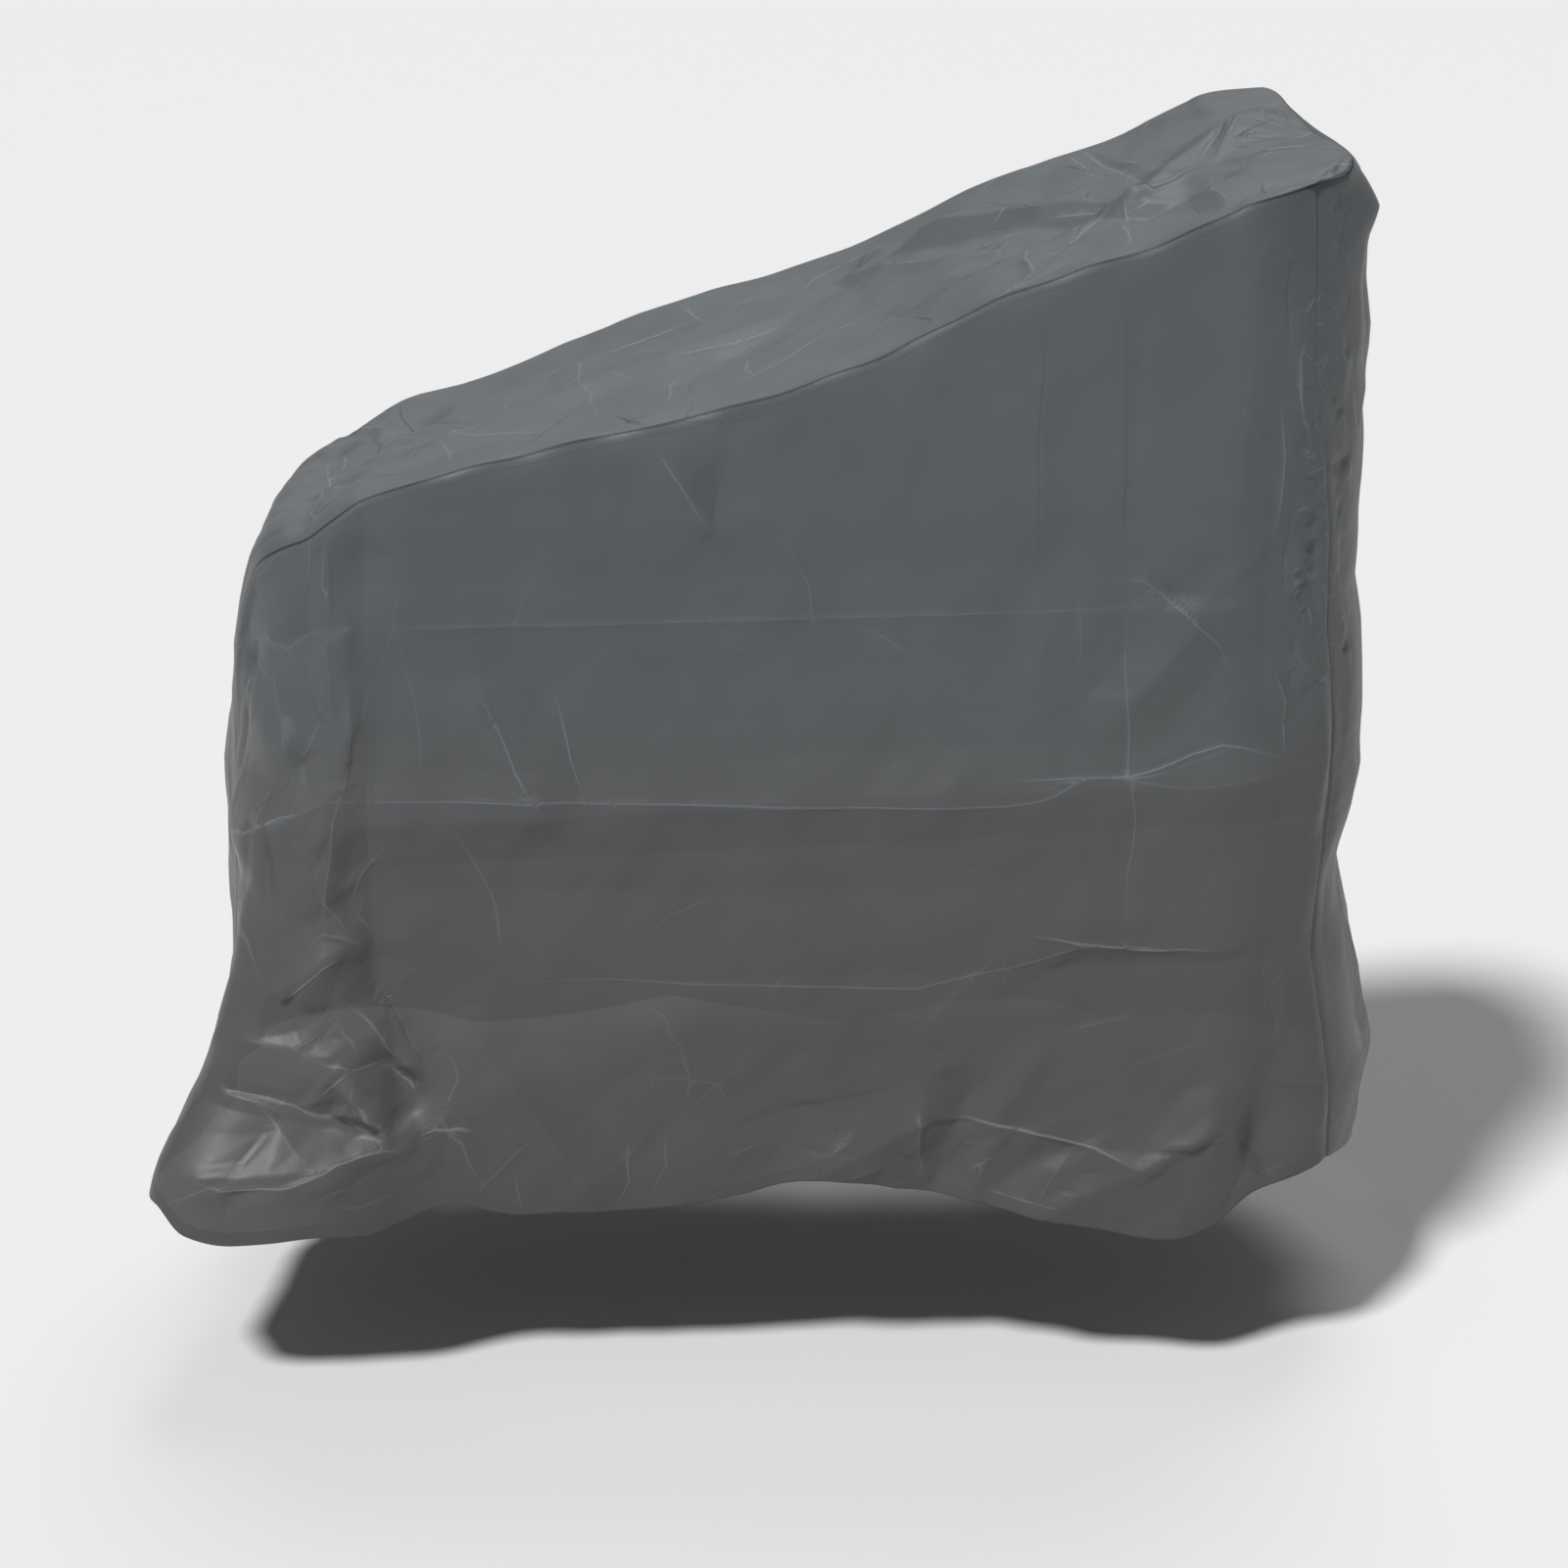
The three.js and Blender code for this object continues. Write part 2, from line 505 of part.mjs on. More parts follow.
const cover = new THREE.Group();
for (const panel of panels) {
  const material = new THREE.MeshStandardMaterial({ color: panel.colour, roughness: 0.5, metalness: 0 });
  const mesh = new THREE.Mesh(panelGeometry(panel), material);
  mesh.name = panel.name;
  cover.add(mesh);
}

export default cover;
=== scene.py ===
# %% [markdown]
# # Dust cover for an exercise bike
#
# The real cover is a thin coated cloth, dark grey and a little see-through. A maker cuts four panels,
# sews them edge to edge and turns a narrow hem round the open bottom. Dropped over a bike, it hangs from
# its sloping top, and it still shows the sharp lines along which it was folded in its bag.
#
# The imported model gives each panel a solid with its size, its place and its main folds. Here each panel
# is made again as a thin sheet: a grid primitive, shaped by the same tables as the solids, with
# creases, puckered seams and a turned hem laid on top.

import bpy
import numpy as np
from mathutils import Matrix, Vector
from mathutils.geometry import delaunay_2d_cdt


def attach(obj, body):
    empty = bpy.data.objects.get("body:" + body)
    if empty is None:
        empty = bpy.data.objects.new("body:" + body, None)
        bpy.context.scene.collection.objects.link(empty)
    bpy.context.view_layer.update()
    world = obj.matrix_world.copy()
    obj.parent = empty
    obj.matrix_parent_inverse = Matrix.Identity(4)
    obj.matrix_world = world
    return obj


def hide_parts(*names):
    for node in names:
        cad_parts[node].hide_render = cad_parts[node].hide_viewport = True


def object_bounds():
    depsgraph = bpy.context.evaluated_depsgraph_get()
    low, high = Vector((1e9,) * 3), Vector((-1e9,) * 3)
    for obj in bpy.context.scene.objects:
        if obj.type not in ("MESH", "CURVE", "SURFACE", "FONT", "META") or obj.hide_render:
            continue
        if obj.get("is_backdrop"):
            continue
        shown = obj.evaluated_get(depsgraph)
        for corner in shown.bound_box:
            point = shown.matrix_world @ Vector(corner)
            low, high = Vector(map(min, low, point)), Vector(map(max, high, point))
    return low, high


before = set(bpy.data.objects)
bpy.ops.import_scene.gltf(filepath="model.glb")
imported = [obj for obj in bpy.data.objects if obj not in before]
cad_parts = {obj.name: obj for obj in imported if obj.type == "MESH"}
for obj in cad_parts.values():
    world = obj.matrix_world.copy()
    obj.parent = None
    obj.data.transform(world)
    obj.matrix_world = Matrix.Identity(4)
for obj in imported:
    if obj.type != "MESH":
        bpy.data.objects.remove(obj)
cad_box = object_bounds()
cad_size = cad_box[1] - cad_box[0]
print("CAD box, m:", [round(value, 3) for value in cad_size])

# %% [markdown]
# ## Camera
#
# The photo looks straight along +Y from above the cover's middle. Lines that run away from the
# viewer converge, so the camera stands near, with a portrait lens tilted down. All places in this file
# are first given in millimetres from the lowest hem, where x is 0 midway along and y is 0 on the flat
# of the near side, and then moved to the frame's origin, the place just under the top.

# %% Camera
HANG_POINT = np.array([0.0, 250.0, 884.0])
CAMERA_DISTANCE = 3400.0
CAMERA_HEIGHT = 1620.0
CAMERA_TILT_DOWN = 18.5
SENSOR_WIDTH = 36.0
PHOTO_FOCAL_LENGTH = 3780.0 / 1601.0  # in picture widths


def to_frame(points):
    return (np.asarray(points, float) - HANG_POINT) / 1000.0


bpy.ops.object.select_all(action="DESELECT")
bpy.ops.object.camera_add(
    location=to_frame([0.0, -CAMERA_DISTANCE, CAMERA_HEIGHT]),
    rotation=(np.radians(90.0 - CAMERA_TILT_DOWN), 0.0, 0.0),
)
camera = bpy.context.object
camera.name = "camera"
camera.data.sensor_width = SENSOR_WIDTH
camera.data.lens = SENSOR_WIDTH * PHOTO_FOCAL_LENGTH
camera.data.clip_end = 100.0
bpy.context.scene.camera = camera
print("lens, mm:", round(camera.data.lens, 1))

# %% [markdown]
# ## Colours
#
# One function turns the hex colour that an eye or a paint chart gives into the linear numbers that a
# shader works with, and one function adds a shader node with its settings and links.

# %% Colour and node helpers


def linear(hex_colour):
    channels = [int(hex_colour[i:i + 2], 16) / 255.0 for i in (1, 3, 5)]
    return tuple(c / 12.92 if c <= 0.04045 else ((c + 0.055) / 1.055) ** 2.4 for c in channels) + (1.0,)


def add_node(tree, kind, settings=None, inputs=None):
    node = tree.nodes.new(kind)
    for name, value in (settings or {}).items():
        setattr(node, name, value)
    for name, value in (inputs or {}).items():
        if isinstance(value, bpy.types.NodeSocket):
            tree.links.new(value, node.inputs[name])
        else:
            node.inputs[name].default_value = value
    return node


def new_material(name):
    material = bpy.data.materials.new(name)
    material.use_nodes = True
    material.node_tree.nodes.clear()
    return material, material.node_tree


# %% [markdown]
# ## Floor and light
#
# The cover hangs with its hem clear of the ground, so the pale floor lies where the feet of what it
# covers would stand. A fairly crisp sun from the upper left front shows the creases, a weaker and
# broader one from above and behind lights the top, and a dim pale surround keeps the shadows open. The
# Standard view transform keeps the cloth's plain greys as the photo has them.

# %% Floor
FLOOR_BELOW_HEM = 150.0
FLOOR_SIZE = 90.0  # metres, so that it reaches past the picture on all sides

bpy.ops.object.select_all(action="DESELECT")
bpy.ops.mesh.primitive_plane_add(size=FLOOR_SIZE, location=to_frame([0.0, 250.0, -FLOOR_BELOW_HEM]))
floor = bpy.context.object
floor.name = "studio_floor"
floor_paint, tree = new_material("matt_white_floor")
shader = add_node(tree, "ShaderNodeBsdfPrincipled",
                  inputs={"Base Color": linear("#DADADA"), "Roughness": 0.9, "Specular IOR Level": 0.1})
add_node(tree, "ShaderNodeOutputMaterial", inputs={"Surface": shader.outputs["BSDF"]})
floor.data.materials.append(floor_paint)
floor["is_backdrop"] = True

# %% Light
SURROUND_STRENGTH = 0.12
LAMP_DISTANCE = 4.0
LIGHTS = [
    {"name": "key_light", "towards": [-0.31, -0.45, 0.84], "softness": 8, "strength": 3.4},
    {"name": "top_light", "towards": [0.10, 0.42, 0.90], "softness": 25, "strength": 0.7},
]

for row in LIGHTS:
    bpy.ops.object.select_all(action="DESELECT")
    turn = Vector(row["towards"]).to_track_quat("Z", "Y").to_euler()
    bpy.ops.object.light_add(type="SUN", location=Vector(row["towards"]) * LAMP_DISTANCE, rotation=turn)
    lamp = bpy.context.object
    lamp.name = row["name"]
    lamp.data.energy = row["strength"]
    lamp.data.angle = np.radians(row["softness"])

world = bpy.data.worlds.new("pale_surround")
bpy.context.scene.world = world
world.use_nodes = True
background = world.node_tree.nodes["Background"]
background.inputs["Color"].default_value = linear("#FFFFFF")
background.inputs["Strength"].default_value = SURROUND_STRENGTH
bpy.context.scene.view_settings.view_transform = "Standard"
print("lights:", len(LIGHTS))

# %% [markdown]
# ## Tables of the hanging form
#
# The sheets hang as the solids do, so nearly the same tables draw them. The front end of the top and
# the folds of the front and the rear are set a little closer to the photo here. Each row is a place
# along the cloth or a fold, in millimetres and degrees, written under the names of its columns.

# %% Rows of a table


def table(columns, *values):
    """Rows as dictionaries. A row that stops early leaves out its last columns."""
    return [dict(zip(columns.split(), row)) for row in values]


# %% Plan, seams and hem
WIDTH = 500
SIDE_REAR_X = -400
SIDE_FRONT_X = 420
CORNER_DEPTH = 180
REAR_CORNER_LENGTH = 157
FRONT_CORNER_LENGTH = 142
REAR_SEAM_ANGLE = 62
REAR_COLUMNS = 8
FLAT_COLUMNS = 24
FRONT_COLUMNS = 6
COLUMNS = REAR_COLUMNS + FLAT_COLUMNS + FRONT_COLUMNS
ROWS = 30

FRONT_SEAM_SWING = table("z angle",
    (0, 46), (400, 47), (700, 47), (790, 42), (880, 36), (1050, 40),
)
TOP_SEAM = table("x z",
    (-539, 588), (-527, 640), (-508, 690), (-480, 712), (-455, 724), (-430, 744), (-404, 762), (-368, 775),
    (-314, 791), (-198, 819), (-106, 839), (-7, 865), (89, 900), (199, 954), (279, 983), (344, 1003),
    (400, 1028), (440, 1044), (515, 1055),
)
FAR_SEAM_LIFT = table("x lift",
    (-539, 0), (-420, -8), (-334, -14), (-222, 5), (-73, 26), (267, 28), (461, 36), (515, 35),
)
NEAR_HEM = table("x z",
    (-539, 62), (-511, 60), (-497, 34), (-480, 25), (-440, 31), (-410, 28), (-390, 34), (-335, 47),
    (-260, 32), (-130, 36), (-50, 48), (29, 68), (127, 54), (258, 31), (390, 12), (430, 20), (468, 50),
    (515, 72),
)
FAR_HEM = table("x z",
    (-539, 50), (-450, 38), (-300, 30), (-120, 48), (60, 34), (230, 52), (380, 28), (515, 44),
)
FRONT_HEM = table("t z",
    (0, 53), (0.15, 46), (0.3, 57), (0.5, 50), (0.75, 60), (1, 44),
)
REAR_HEM = table("t z",
    (0, 62), (0.3, 44), (0.6, 54), (1, 50),
)

# %% How far the cloth stands out from the plan, by height
PUSH_HEIGHTS = [0, 60, 130, 200, 300, 420, 520, 650, 850, 1050]
NEAR_PUSH = table("x push",
    (-539, [100, 96, 70, 28, 14, 8, 4, 0, 0, 0]), (-511, [158, 150, 112, 72, 32, 14, 6, 0, 0, 0]),
    (-466, [104, 98, 74, 48, 24, 12, 6, 0, -4, -4]), (-400, [54, 48, 30, 12, 6, 4, 2, 0, -8, -10]),
    (-330, [30, 24, 12, 6, 4, 2, 2, 2, -8, -14]), (-200, [14, 12, 8, 6, 4, 4, 4, 2, -10, -18]),
    (0, [6, 6, 8, 8, 6, 6, 4, 0, -10, -20]), (200, [10, 8, 6, 4, 4, 6, 4, 0, -8, -20]),
    (390, [34, 26, 12, 4, 0, 4, 2, 0, -8, -18]), (469, [16, 18, 14, 6, -2, 6, 4, 0, -4, -16]),
    (515, [26, 34, 34, 24, 6, 12, 16, 6, 2, -20]),
)
FAR_PUSH = table("x push",
    (-539, [52, 48, 38, 26, 20, 14, 8, 0, 0, 0]), (-466, [44, 38, 26, 16, 12, 8, 4, 0, -4, -4]),
    (-330, [12, 14, 10, 8, 6, 4, 2, 2, -8, -14]), (-120, [24, 18, 10, 4, 0, 2, 4, 2, -10, -18]),
    (90, [4, 6, 8, 8, 8, 4, 2, 0, -10, -20]), (300, [26, 20, 10, 2, 0, 4, 6, 2, -8, -20]),
    (515, [26, 30, 30, 22, 8, 10, 14, 6, 2, -20]),
)
FRONT_LINE = table("z x",
    (0, 588), (50, 592), (100, 597), (145, 602), (185, 593), (285, 576), (361, 563), (426, 576), (510, 580),
    (593, 578), (660, 574), (745, 570), (900, 567), (983, 568), (1019, 573), (1046, 572), (1070, 556),
)
REAR_LINE = table("z x",
    (0, -600), (100, -596), (150, -586), (204, -576), (319, -570), (426, -565), (527, -560), (600, -550),
)
CROSS_SEAM = table("t forward rise",
    (0, 0, 0), (0.08, 36, 5), (0.17, 44, 10), (0.3, 38, 9), (0.5, 28, 0), (0.75, 17, 0), (0.92, 8, 2),
    (1, 0, 0),
)
CROSS_SEAM_REACH = 8
STRIP_CROWN = table("x crown",
    (-539, 8), (-500, 12), (-455, 10), (-404, 4), (-200, 3), (0, 4), (250, 5), (515, 3),
)
ARCH_SHOULDER = 0.33
ARCH_POWER = 2.2
SLOPE_STEP = 0.25
FRONT_BLEND_ROWS = 1.2
REAR_BLEND_ROWS = 5
FOLD_FADE = 60
FOLD_SHARPNESS = 1.1  # the solids have rounded folds, the cloth sharp ones

# %% Main folds, as lines that stand out or in over a width to either side
NEAR_FOLDS = table("u1 w1 u2 w2 width height sharpness",
    (-420, 636, 520, 662, 46, 6), (-500, 440, 520, 496, 46, 6), (-400, 272, 480, 300, 50, -5),
    (243, 880, 250, 500, 42, 1.5, 2), (332, 930, 326, 330, 44, -1.5, 2), (-120, 820, -70, 740, 46, 6, 1.6),
    (-62, 800, -66, 730, 40, -3), (-295, 560, -230, 455, 42, 3, 2), (-260, 640, -190, 465, 36, -3),
    (-404, 700, -404, 320, 34, -3), (-494, 258, -430, 312, 38, 12), (-440, 350, -400, 300, 34, -6),
    (-494, 256, -467, 208, 36, -8), (-432, 262, -372, 195, 38, 10), (-530, 232, -431, 198, 44, 10),
    (-545, 168, -395, 120, 48, -12), (-429, 196, -395, 122, 32, 12), (-396, 200, -362, 155, 32, -10),
    (-565, 86, -372, 108, 36, 8), (-300, 210, -200, 70, 46, 11), (30, 70, 140, 130, 46, 10),
    (150, 60, 180, 150, 40, -10), (250, 30, 420, 120, 50, 13), (440, 30, 500, 170, 40, -13),
    (395, 640, 330, 560, 40, 8), (480, 980, 460, 560, 36, -4),
)
FAR_FOLDS = table("u1 w1 u2 w2 width height",
    (-500, 600, 520, 650, 46, 6), (-500, 455, 520, 470, 46, -6), (-480, 275, 500, 282, 50, 5),
    (-60, 850, -70, 120, 46, 8), (210, 950, 205, 160, 46, -8), (-380, 740, -300, 480, 56, 14),
    (-230, 330, -120, 30, 66, 20), (-340, 260, -360, 20, 56, -16), (300, 30, 380, 330, 66, 20),
    (60, 40, 110, 300, 60, -16), (430, 40, 455, 380, 52, -14), (420, 990, 330, 760, 50, 12),
    (60, 800, 130, 560, 54, -9),
)
TOP_FOLDS = table("u1 w1 u2 w2 width height",
    (-330, 150, 210, 330, 50, 8), (-120, 120, 60, 300, 46, -6), (150, 330, 345, 170, 40, 11),
    (345, 170, 470, 330, 42, 13), (200, 150, 330, 190, 36, -10), (350, 130, 510, 200, 40, -10),
    (-460, 190, -380, 330, 44, -10), (-300, 400, 60, 380, 46, -6),
)
FRONT_FOLDS = table("u1 w1 u2 w2 width height",
    (60, 1070, 120, 1050, 56, 14), (130, 900, 400, 905, 46, 4), (100, 650, 410, 660, 46, -4),
    (110, 460, 400, 455, 46, 4), (235, 1000, 225, 520, 56, -8), (330, 860, 345, 420, 52, 6),
    (160, 1030, 130, 880, 40, -8), (175, 30, 200, 360, 52, 8), (255, 30, 265, 240, 48, -16),
    (345, 30, 320, 300, 52, 10),
)
REAR_FOLDS = table("u1 w1 u2 w2 width height",
    (140, 460, 380, 455, 46, 3), (250, 560, 230, 40, 60, -15), (330, 30, 350, 320, 52, 10),
    (400, 30, 410, 220, 44, -12), (140, 270, 360, 280, 46, -6),
)

# %% [markdown]
# ## Curves through the tables
#
# A smooth curve runs through each table without swinging past its rows. It takes whole arrays of
# points at once, because a panel has tens of thousands of them.

# %% Curve helpers


def smooth_through(xs, ys, x):
    ys = np.asarray(ys, float).reshape(len(xs), -1)
    step = np.diff(xs)[:, None]
    slope = np.diff(ys, axis=0) / step
    before = 2.0 * step[1:] + step[:-1]
    after = step[1:] + 2.0 * step[:-1]
    turning = slope[:-1] * slope[1:] <= 0.0
    first = np.where(turning, 1.0, slope[:-1])
    second = np.where(turning, 1.0, slope[1:])
    inner = np.where(turning, 0.0, (before + after) / (before / first + after / second))
    tangent = np.vstack([slope[:1], inner, slope[-1:]])
    x = np.clip(x, xs[0], xs[-1])
    i = np.clip(np.searchsorted(xs, x, side="right") - 1, 0, len(xs) - 2)
    k = np.arange(ys.shape[1]) if ys.shape[1] > 1 else 0
    length = step[i, 0]
    s = (x - xs[i]) / length
    low, high = ys[i, k], ys[i + 1, k]
    return (low + (high - low) * s * s * (3.0 - 2.0 * s)
            + s * (1.0 - s) ** 2 * length * tangent[i, k]
            + s * s * (s - 1.0) * length * tangent[i + 1, k])


def smooth_table(rows, key, value):
    xs = np.array([row[key] for row in rows], float)
    ys = np.array([row[value] for row in rows], float)
    return lambda x: smooth_through(xs, ys, np.asarray(x, float))


def push_table(rows):
    xs = np.array([row["x"] for row in rows], float)
    heights = np.array(PUSH_HEIGHTS, float)

    def push(x, z):
        shape = np.broadcast(x, z).shape
        flat_x = np.broadcast_to(x, shape).ravel()
        flat_z = np.broadcast_to(z, shape).ravel()
        level = [smooth_through(heights, row["push"], flat_z) for row in rows]
        return smooth_through(xs, np.array(level), flat_x).reshape(shape)

    return push


def soft_step(share):
    share = np.clip(share, 0.0, 1.0)
    return share * share * (3.0 - 2.0 * share)


def line_distance(line, u, w):
    du, dw = line["u2"] - line["u1"], line["w2"] - line["w1"]
    along = np.clip(((u - line["u1"]) * du + (w - line["w1"]) * dw) / (du * du + dw * dw), 0.0, 1.0)
    return np.hypot(u - line["u1"] - along * du, w - line["w1"] - along * dw)


def fold_height(folds, u, w):
    total = np.zeros(np.shape(u))
    for fold in folds:
        off = line_distance(fold, u, w)
        share = np.clip(1.0 - off / fold["width"], 0.0, 1.0)
        total += fold["height"] * share ** fold.get("sharpness", FOLD_SHARPNESS)
    return total


def arch(t):
    from_end = np.minimum(t, 1.0 - t) / ARCH_SHOULDER
    return np.where(from_end >= 1.0, 1.0, 1.0 - np.clip(1.0 - from_end, 0.0, 1.0) ** ARCH_POWER)


front_seam_angle = smooth_table(FRONT_SEAM_SWING, "z", "angle")
top_seam = smooth_table(TOP_SEAM, "x", "z")
front_line = smooth_table(FRONT_LINE, "z", "x")
rear_line = smooth_table(REAR_LINE, "z", "x")
print("top seam at midway, mm:", round(float(top_seam(0.0)), 1))

# %% [markdown]
# ## Hanging form of each panel
#
# The two sides are flat walls that wrap round the corners. The strip spans from seam to seam over
# the top and then drops down the rear, and the front panel bows out between the front seams.

# %% Side panels


def side_plan(column, z):
    rear = np.radians(REAR_SEAM_ANGLE * np.clip(1.0 - column / REAR_COLUMNS, 0.0, 1.0))
    past_flat = np.clip((column - REAR_COLUMNS - FLAT_COLUMNS) / FRONT_COLUMNS, 0.0, 1.0)
    front = np.radians(front_seam_angle(z) * past_flat)
    flat = np.clip((column - REAR_COLUMNS) / FLAT_COLUMNS, 0.0, 1.0)
    x = (SIDE_REAR_X + flat * (SIDE_FRONT_X - SIDE_REAR_X)
         - REAR_CORNER_LENGTH * np.sin(rear) + FRONT_CORNER_LENGTH * np.sin(front))
    y = CORNER_DEPTH * (2.0 - np.cos(rear) - np.cos(front))
    out_x = CORNER_DEPTH * (np.sin(front) - np.sin(rear))
    out_y = -np.cos(rear) * np.cos(front) * np.where(rear > 0.0, REAR_CORNER_LENGTH, FRONT_CORNER_LENGTH)
    size = np.hypot(out_x, out_y)
    return x, y, out_x / size, out_y / size


def make_side(lift, hem, push_rows, folds, far):
    hem_height = smooth_table(hem, "x", "z")
    push = push_table(push_rows)

    def side(column, row):
        column, row = np.broadcast_arrays(np.asarray(column, float), np.asarray(row, float))
        base_x = side_plan(column, np.zeros(column.shape))[0]
        top_z = top_seam(base_x) + lift(base_x)
        z = top_z + (hem_height(base_x) - top_z) * row / ROWS
        x, y, out_x, out_y = side_plan(column, z)
        rear_end = side_plan(np.zeros(z.shape), z)[0]
        front_end = side_plan(np.full(z.shape, float(COLUMNS)), z)[0]
        from_seams = np.minimum(np.minimum(top_z - z, x - rear_end), front_end - x)
        out = push(x, z) + fold_height(folds, x, z) * soft_step(from_seams / FOLD_FADE)
        y = y + out_y * out
        return np.stack([x + out_x * out, WIDTH - y if far else y, z], axis=-1)

    return side


near_side = make_side(lambda x: 0.0 * x, NEAR_HEM, NEAR_PUSH, NEAR_FOLDS, far=False)
far_side = make_side(smooth_table(FAR_SEAM_LIFT, "x", "lift"), FAR_HEM, FAR_PUSH, FAR_FOLDS, far=True)

# %% Strip over the top
cross_seam_forward = smooth_table(CROSS_SEAM, "t", "forward")
cross_seam_rise = smooth_table(CROSS_SEAM, "t", "rise")
strip_crown = smooth_table(STRIP_CROWN, "x", "crown")


def between(low, high, t):
    return low + (high - low) * np.asarray(t)[..., None]


def cross_seam(t):
    ends = np.full(np.shape(t), float(COLUMNS))
    point = between(near_side(ends, 0.0), far_side(ends, 0.0), t)
    point[..., 0] += cross_seam_forward(t)
    point[..., 2] += cross_seam_rise(t)
    return point


def strip_chord(column, t):
    ahead = np.minimum(COLUMNS, column + SLOPE_STEP)
    behind = np.maximum(0.0, column - SLOPE_STEP)
    near, far = near_side(column, 0.0), far_side(column, 0.0)
    along = near_side(ahead, 0.0) + far_side(ahead, 0.0) - near_side(behind, 0.0) - far_side(behind, 0.0)
    out = np.cross(along, far - near)
    out /= np.linalg.norm(out, axis=-1, keepdims=True)
    point = between(near, far, t)
    from_seams = np.minimum(t, 1.0 - t) * np.linalg.norm(far - near, axis=-1)
    fold = fold_height(TOP_FOLDS, point[..., 0], point[..., 1]) * soft_step(from_seams / FOLD_FADE)
    crown = strip_crown(side_plan(column, np.zeros(column.shape))[0])
    return point + out * (crown * arch(t) + fold)[..., None]


def strip_top(column, t):
    column, t = np.broadcast_arrays(np.asarray(column, float), np.asarray(t, float))
    follow = soft_step((column - (COLUMNS - CROSS_SEAM_REACH)) / CROSS_SEAM_REACH)
    shift = cross_seam(t) - strip_chord(np.full(t.shape, float(COLUMNS)), t)
    return strip_chord(column, t) + shift * follow[..., None]


# %% Front panel and the strip down the rear


def make_upright(column, direction, middle, hem, folds, first_row, blend_rows):
    hem_height = smooth_table(hem, "t", "z")
    hem_ends = hem_height(np.array([0.0, 1.0]))

    def upright(row, t):
        row, t = np.broadcast_arrays(np.asarray(row, float), np.asarray(t, float))
        edge = np.full(row.shape, float(column))
        near, far = near_side(edge, row), far_side(edge, row)
        point = between(near, far, t)
        level = hem_ends[0] + (hem_ends[1] - hem_ends[0]) * t
        point[..., 2] += (hem_height(t) - level) * (row / ROWS)
        bow = middle(point[..., 2]) - (near[..., 0] + far[..., 0]) / 2.0
        start = first_row(t) - between(near_side(edge, 0.0), far_side(edge, 0.0), t)
        settled = np.minimum(1.0, row / blend_rows)
        from_seams = np.minimum(t, 1.0 - t) * (far[..., 1] - near[..., 1])
        fade = soft_step(from_seams / FOLD_FADE) * settled
        fold = fold_height(folds, point[..., 1], point[..., 2])
        point[..., 0] += bow * arch(t) * settled + direction * fold * fade
        return point + start * (1.0 - settled)[..., None]

    return upright


front_upright = make_upright(COLUMNS, 1, front_line, FRONT_HEM, FRONT_FOLDS, cross_seam, FRONT_BLEND_ROWS)
rear_upright = make_upright(0, -1, rear_line, REAR_HEM, REAR_FOLDS,
                            lambda t: strip_top(np.zeros(np.shape(t)), t), REAR_BLEND_ROWS)
print("front seam's top, mm:", np.round(near_side(COLUMNS, 0), 1))

# %% [markdown]
# ## Where the grid lines run
#
# The cloth needs a line every 3 to 4 mm, so that a crease reads as a sharp line from a step away. The
# same columns serve a side and the strip beside it, so both meet point for point along the seam.

# %% Grid lines
LONG_STRETCHES = table("from to length step",
    (0, 8, 182, 2.6), (8, 32, 820, 4.2), (32, 38, 125, 2.8),
)
DROP_STRETCHES = table("from to length step",
    (0, 21, 700, 3.7), (21, 30, 300, 2.6),
)
CROSS_STRETCHES = table("from to length step", (0, 1, WIDTH, 3.7))


def grid_lines(stretches):
    parts = []
    for row in stretches:
        steps = int(row["length"] / row["step"])
        parts.append(np.linspace(row["from"], row["to"], steps + 1)[:-1])
    return np.concatenate(parts + [[stretches[-1]["to"]]])


SIDE_LINES = grid_lines(LONG_STRETCHES)
DROP_LINES = grid_lines(DROP_STRETCHES)
CROSS_LINES = grid_lines(CROSS_STRETCHES)
print("grid lines along, down and across:", len(SIDE_LINES), len(DROP_LINES), len(CROSS_LINES))

# %% Base points of each panel, as rows that run down or rearwards
COLUMN_GRID, ROW_GRID = np.meshgrid(SIDE_LINES, DROP_LINES)
near_base = near_side(COLUMN_GRID, ROW_GRID)
far_base = far_side(COLUMN_GRID, ROW_GRID)
front_base = front_upright(DROP_LINES[:, None], CROSS_LINES[None, :])
strip_base = np.concatenate([
    strip_top(SIDE_LINES[::-1][:, None], CROSS_LINES[None, :]),
    rear_upright(DROP_LINES[1:, None], CROSS_LINES[None, :]),
])
TOP_ROWS = len(SIDE_LINES)
print("near panel, mm:", np.round(near_base.min((0, 1))), np.round(near_base.max((0, 1))))

# %% [markdown]
# ## Distances on the cloth
#
# A sewer measures along the cloth, so each panel gets two such measures: across, from its first edge
# along a row, and down, from its top edge along a column. They place puckers and small creases, and
# they become the UV map, so that a pattern follows the cloth.

# %% Measures along the cloth
SEAM_FADE = 2.0  # upright seams are puckered and show a fainter line, as if it lay this much deeper
SEAM_CLEAR_ABOVE = 620.0
SEAM_FADE_HEIGHT = 90.0
LINE_REACH = 9.0  # how far beside a crease its mark is worked out


def running_length(points, axis):
    step = np.linalg.norm(np.diff(points, axis=axis), axis=-1)
    zero = np.zeros_like(np.take(step, [0], axis=axis))
    return np.concatenate([zero, np.cumsum(step, axis=axis)], axis=axis)


def outward_normals(points):
    down = np.gradient(points, axis=0)
    across = np.gradient(points, axis=1)
    normal = np.cross(down, across)
    return normal / np.linalg.norm(normal, axis=-1, keepdims=True)


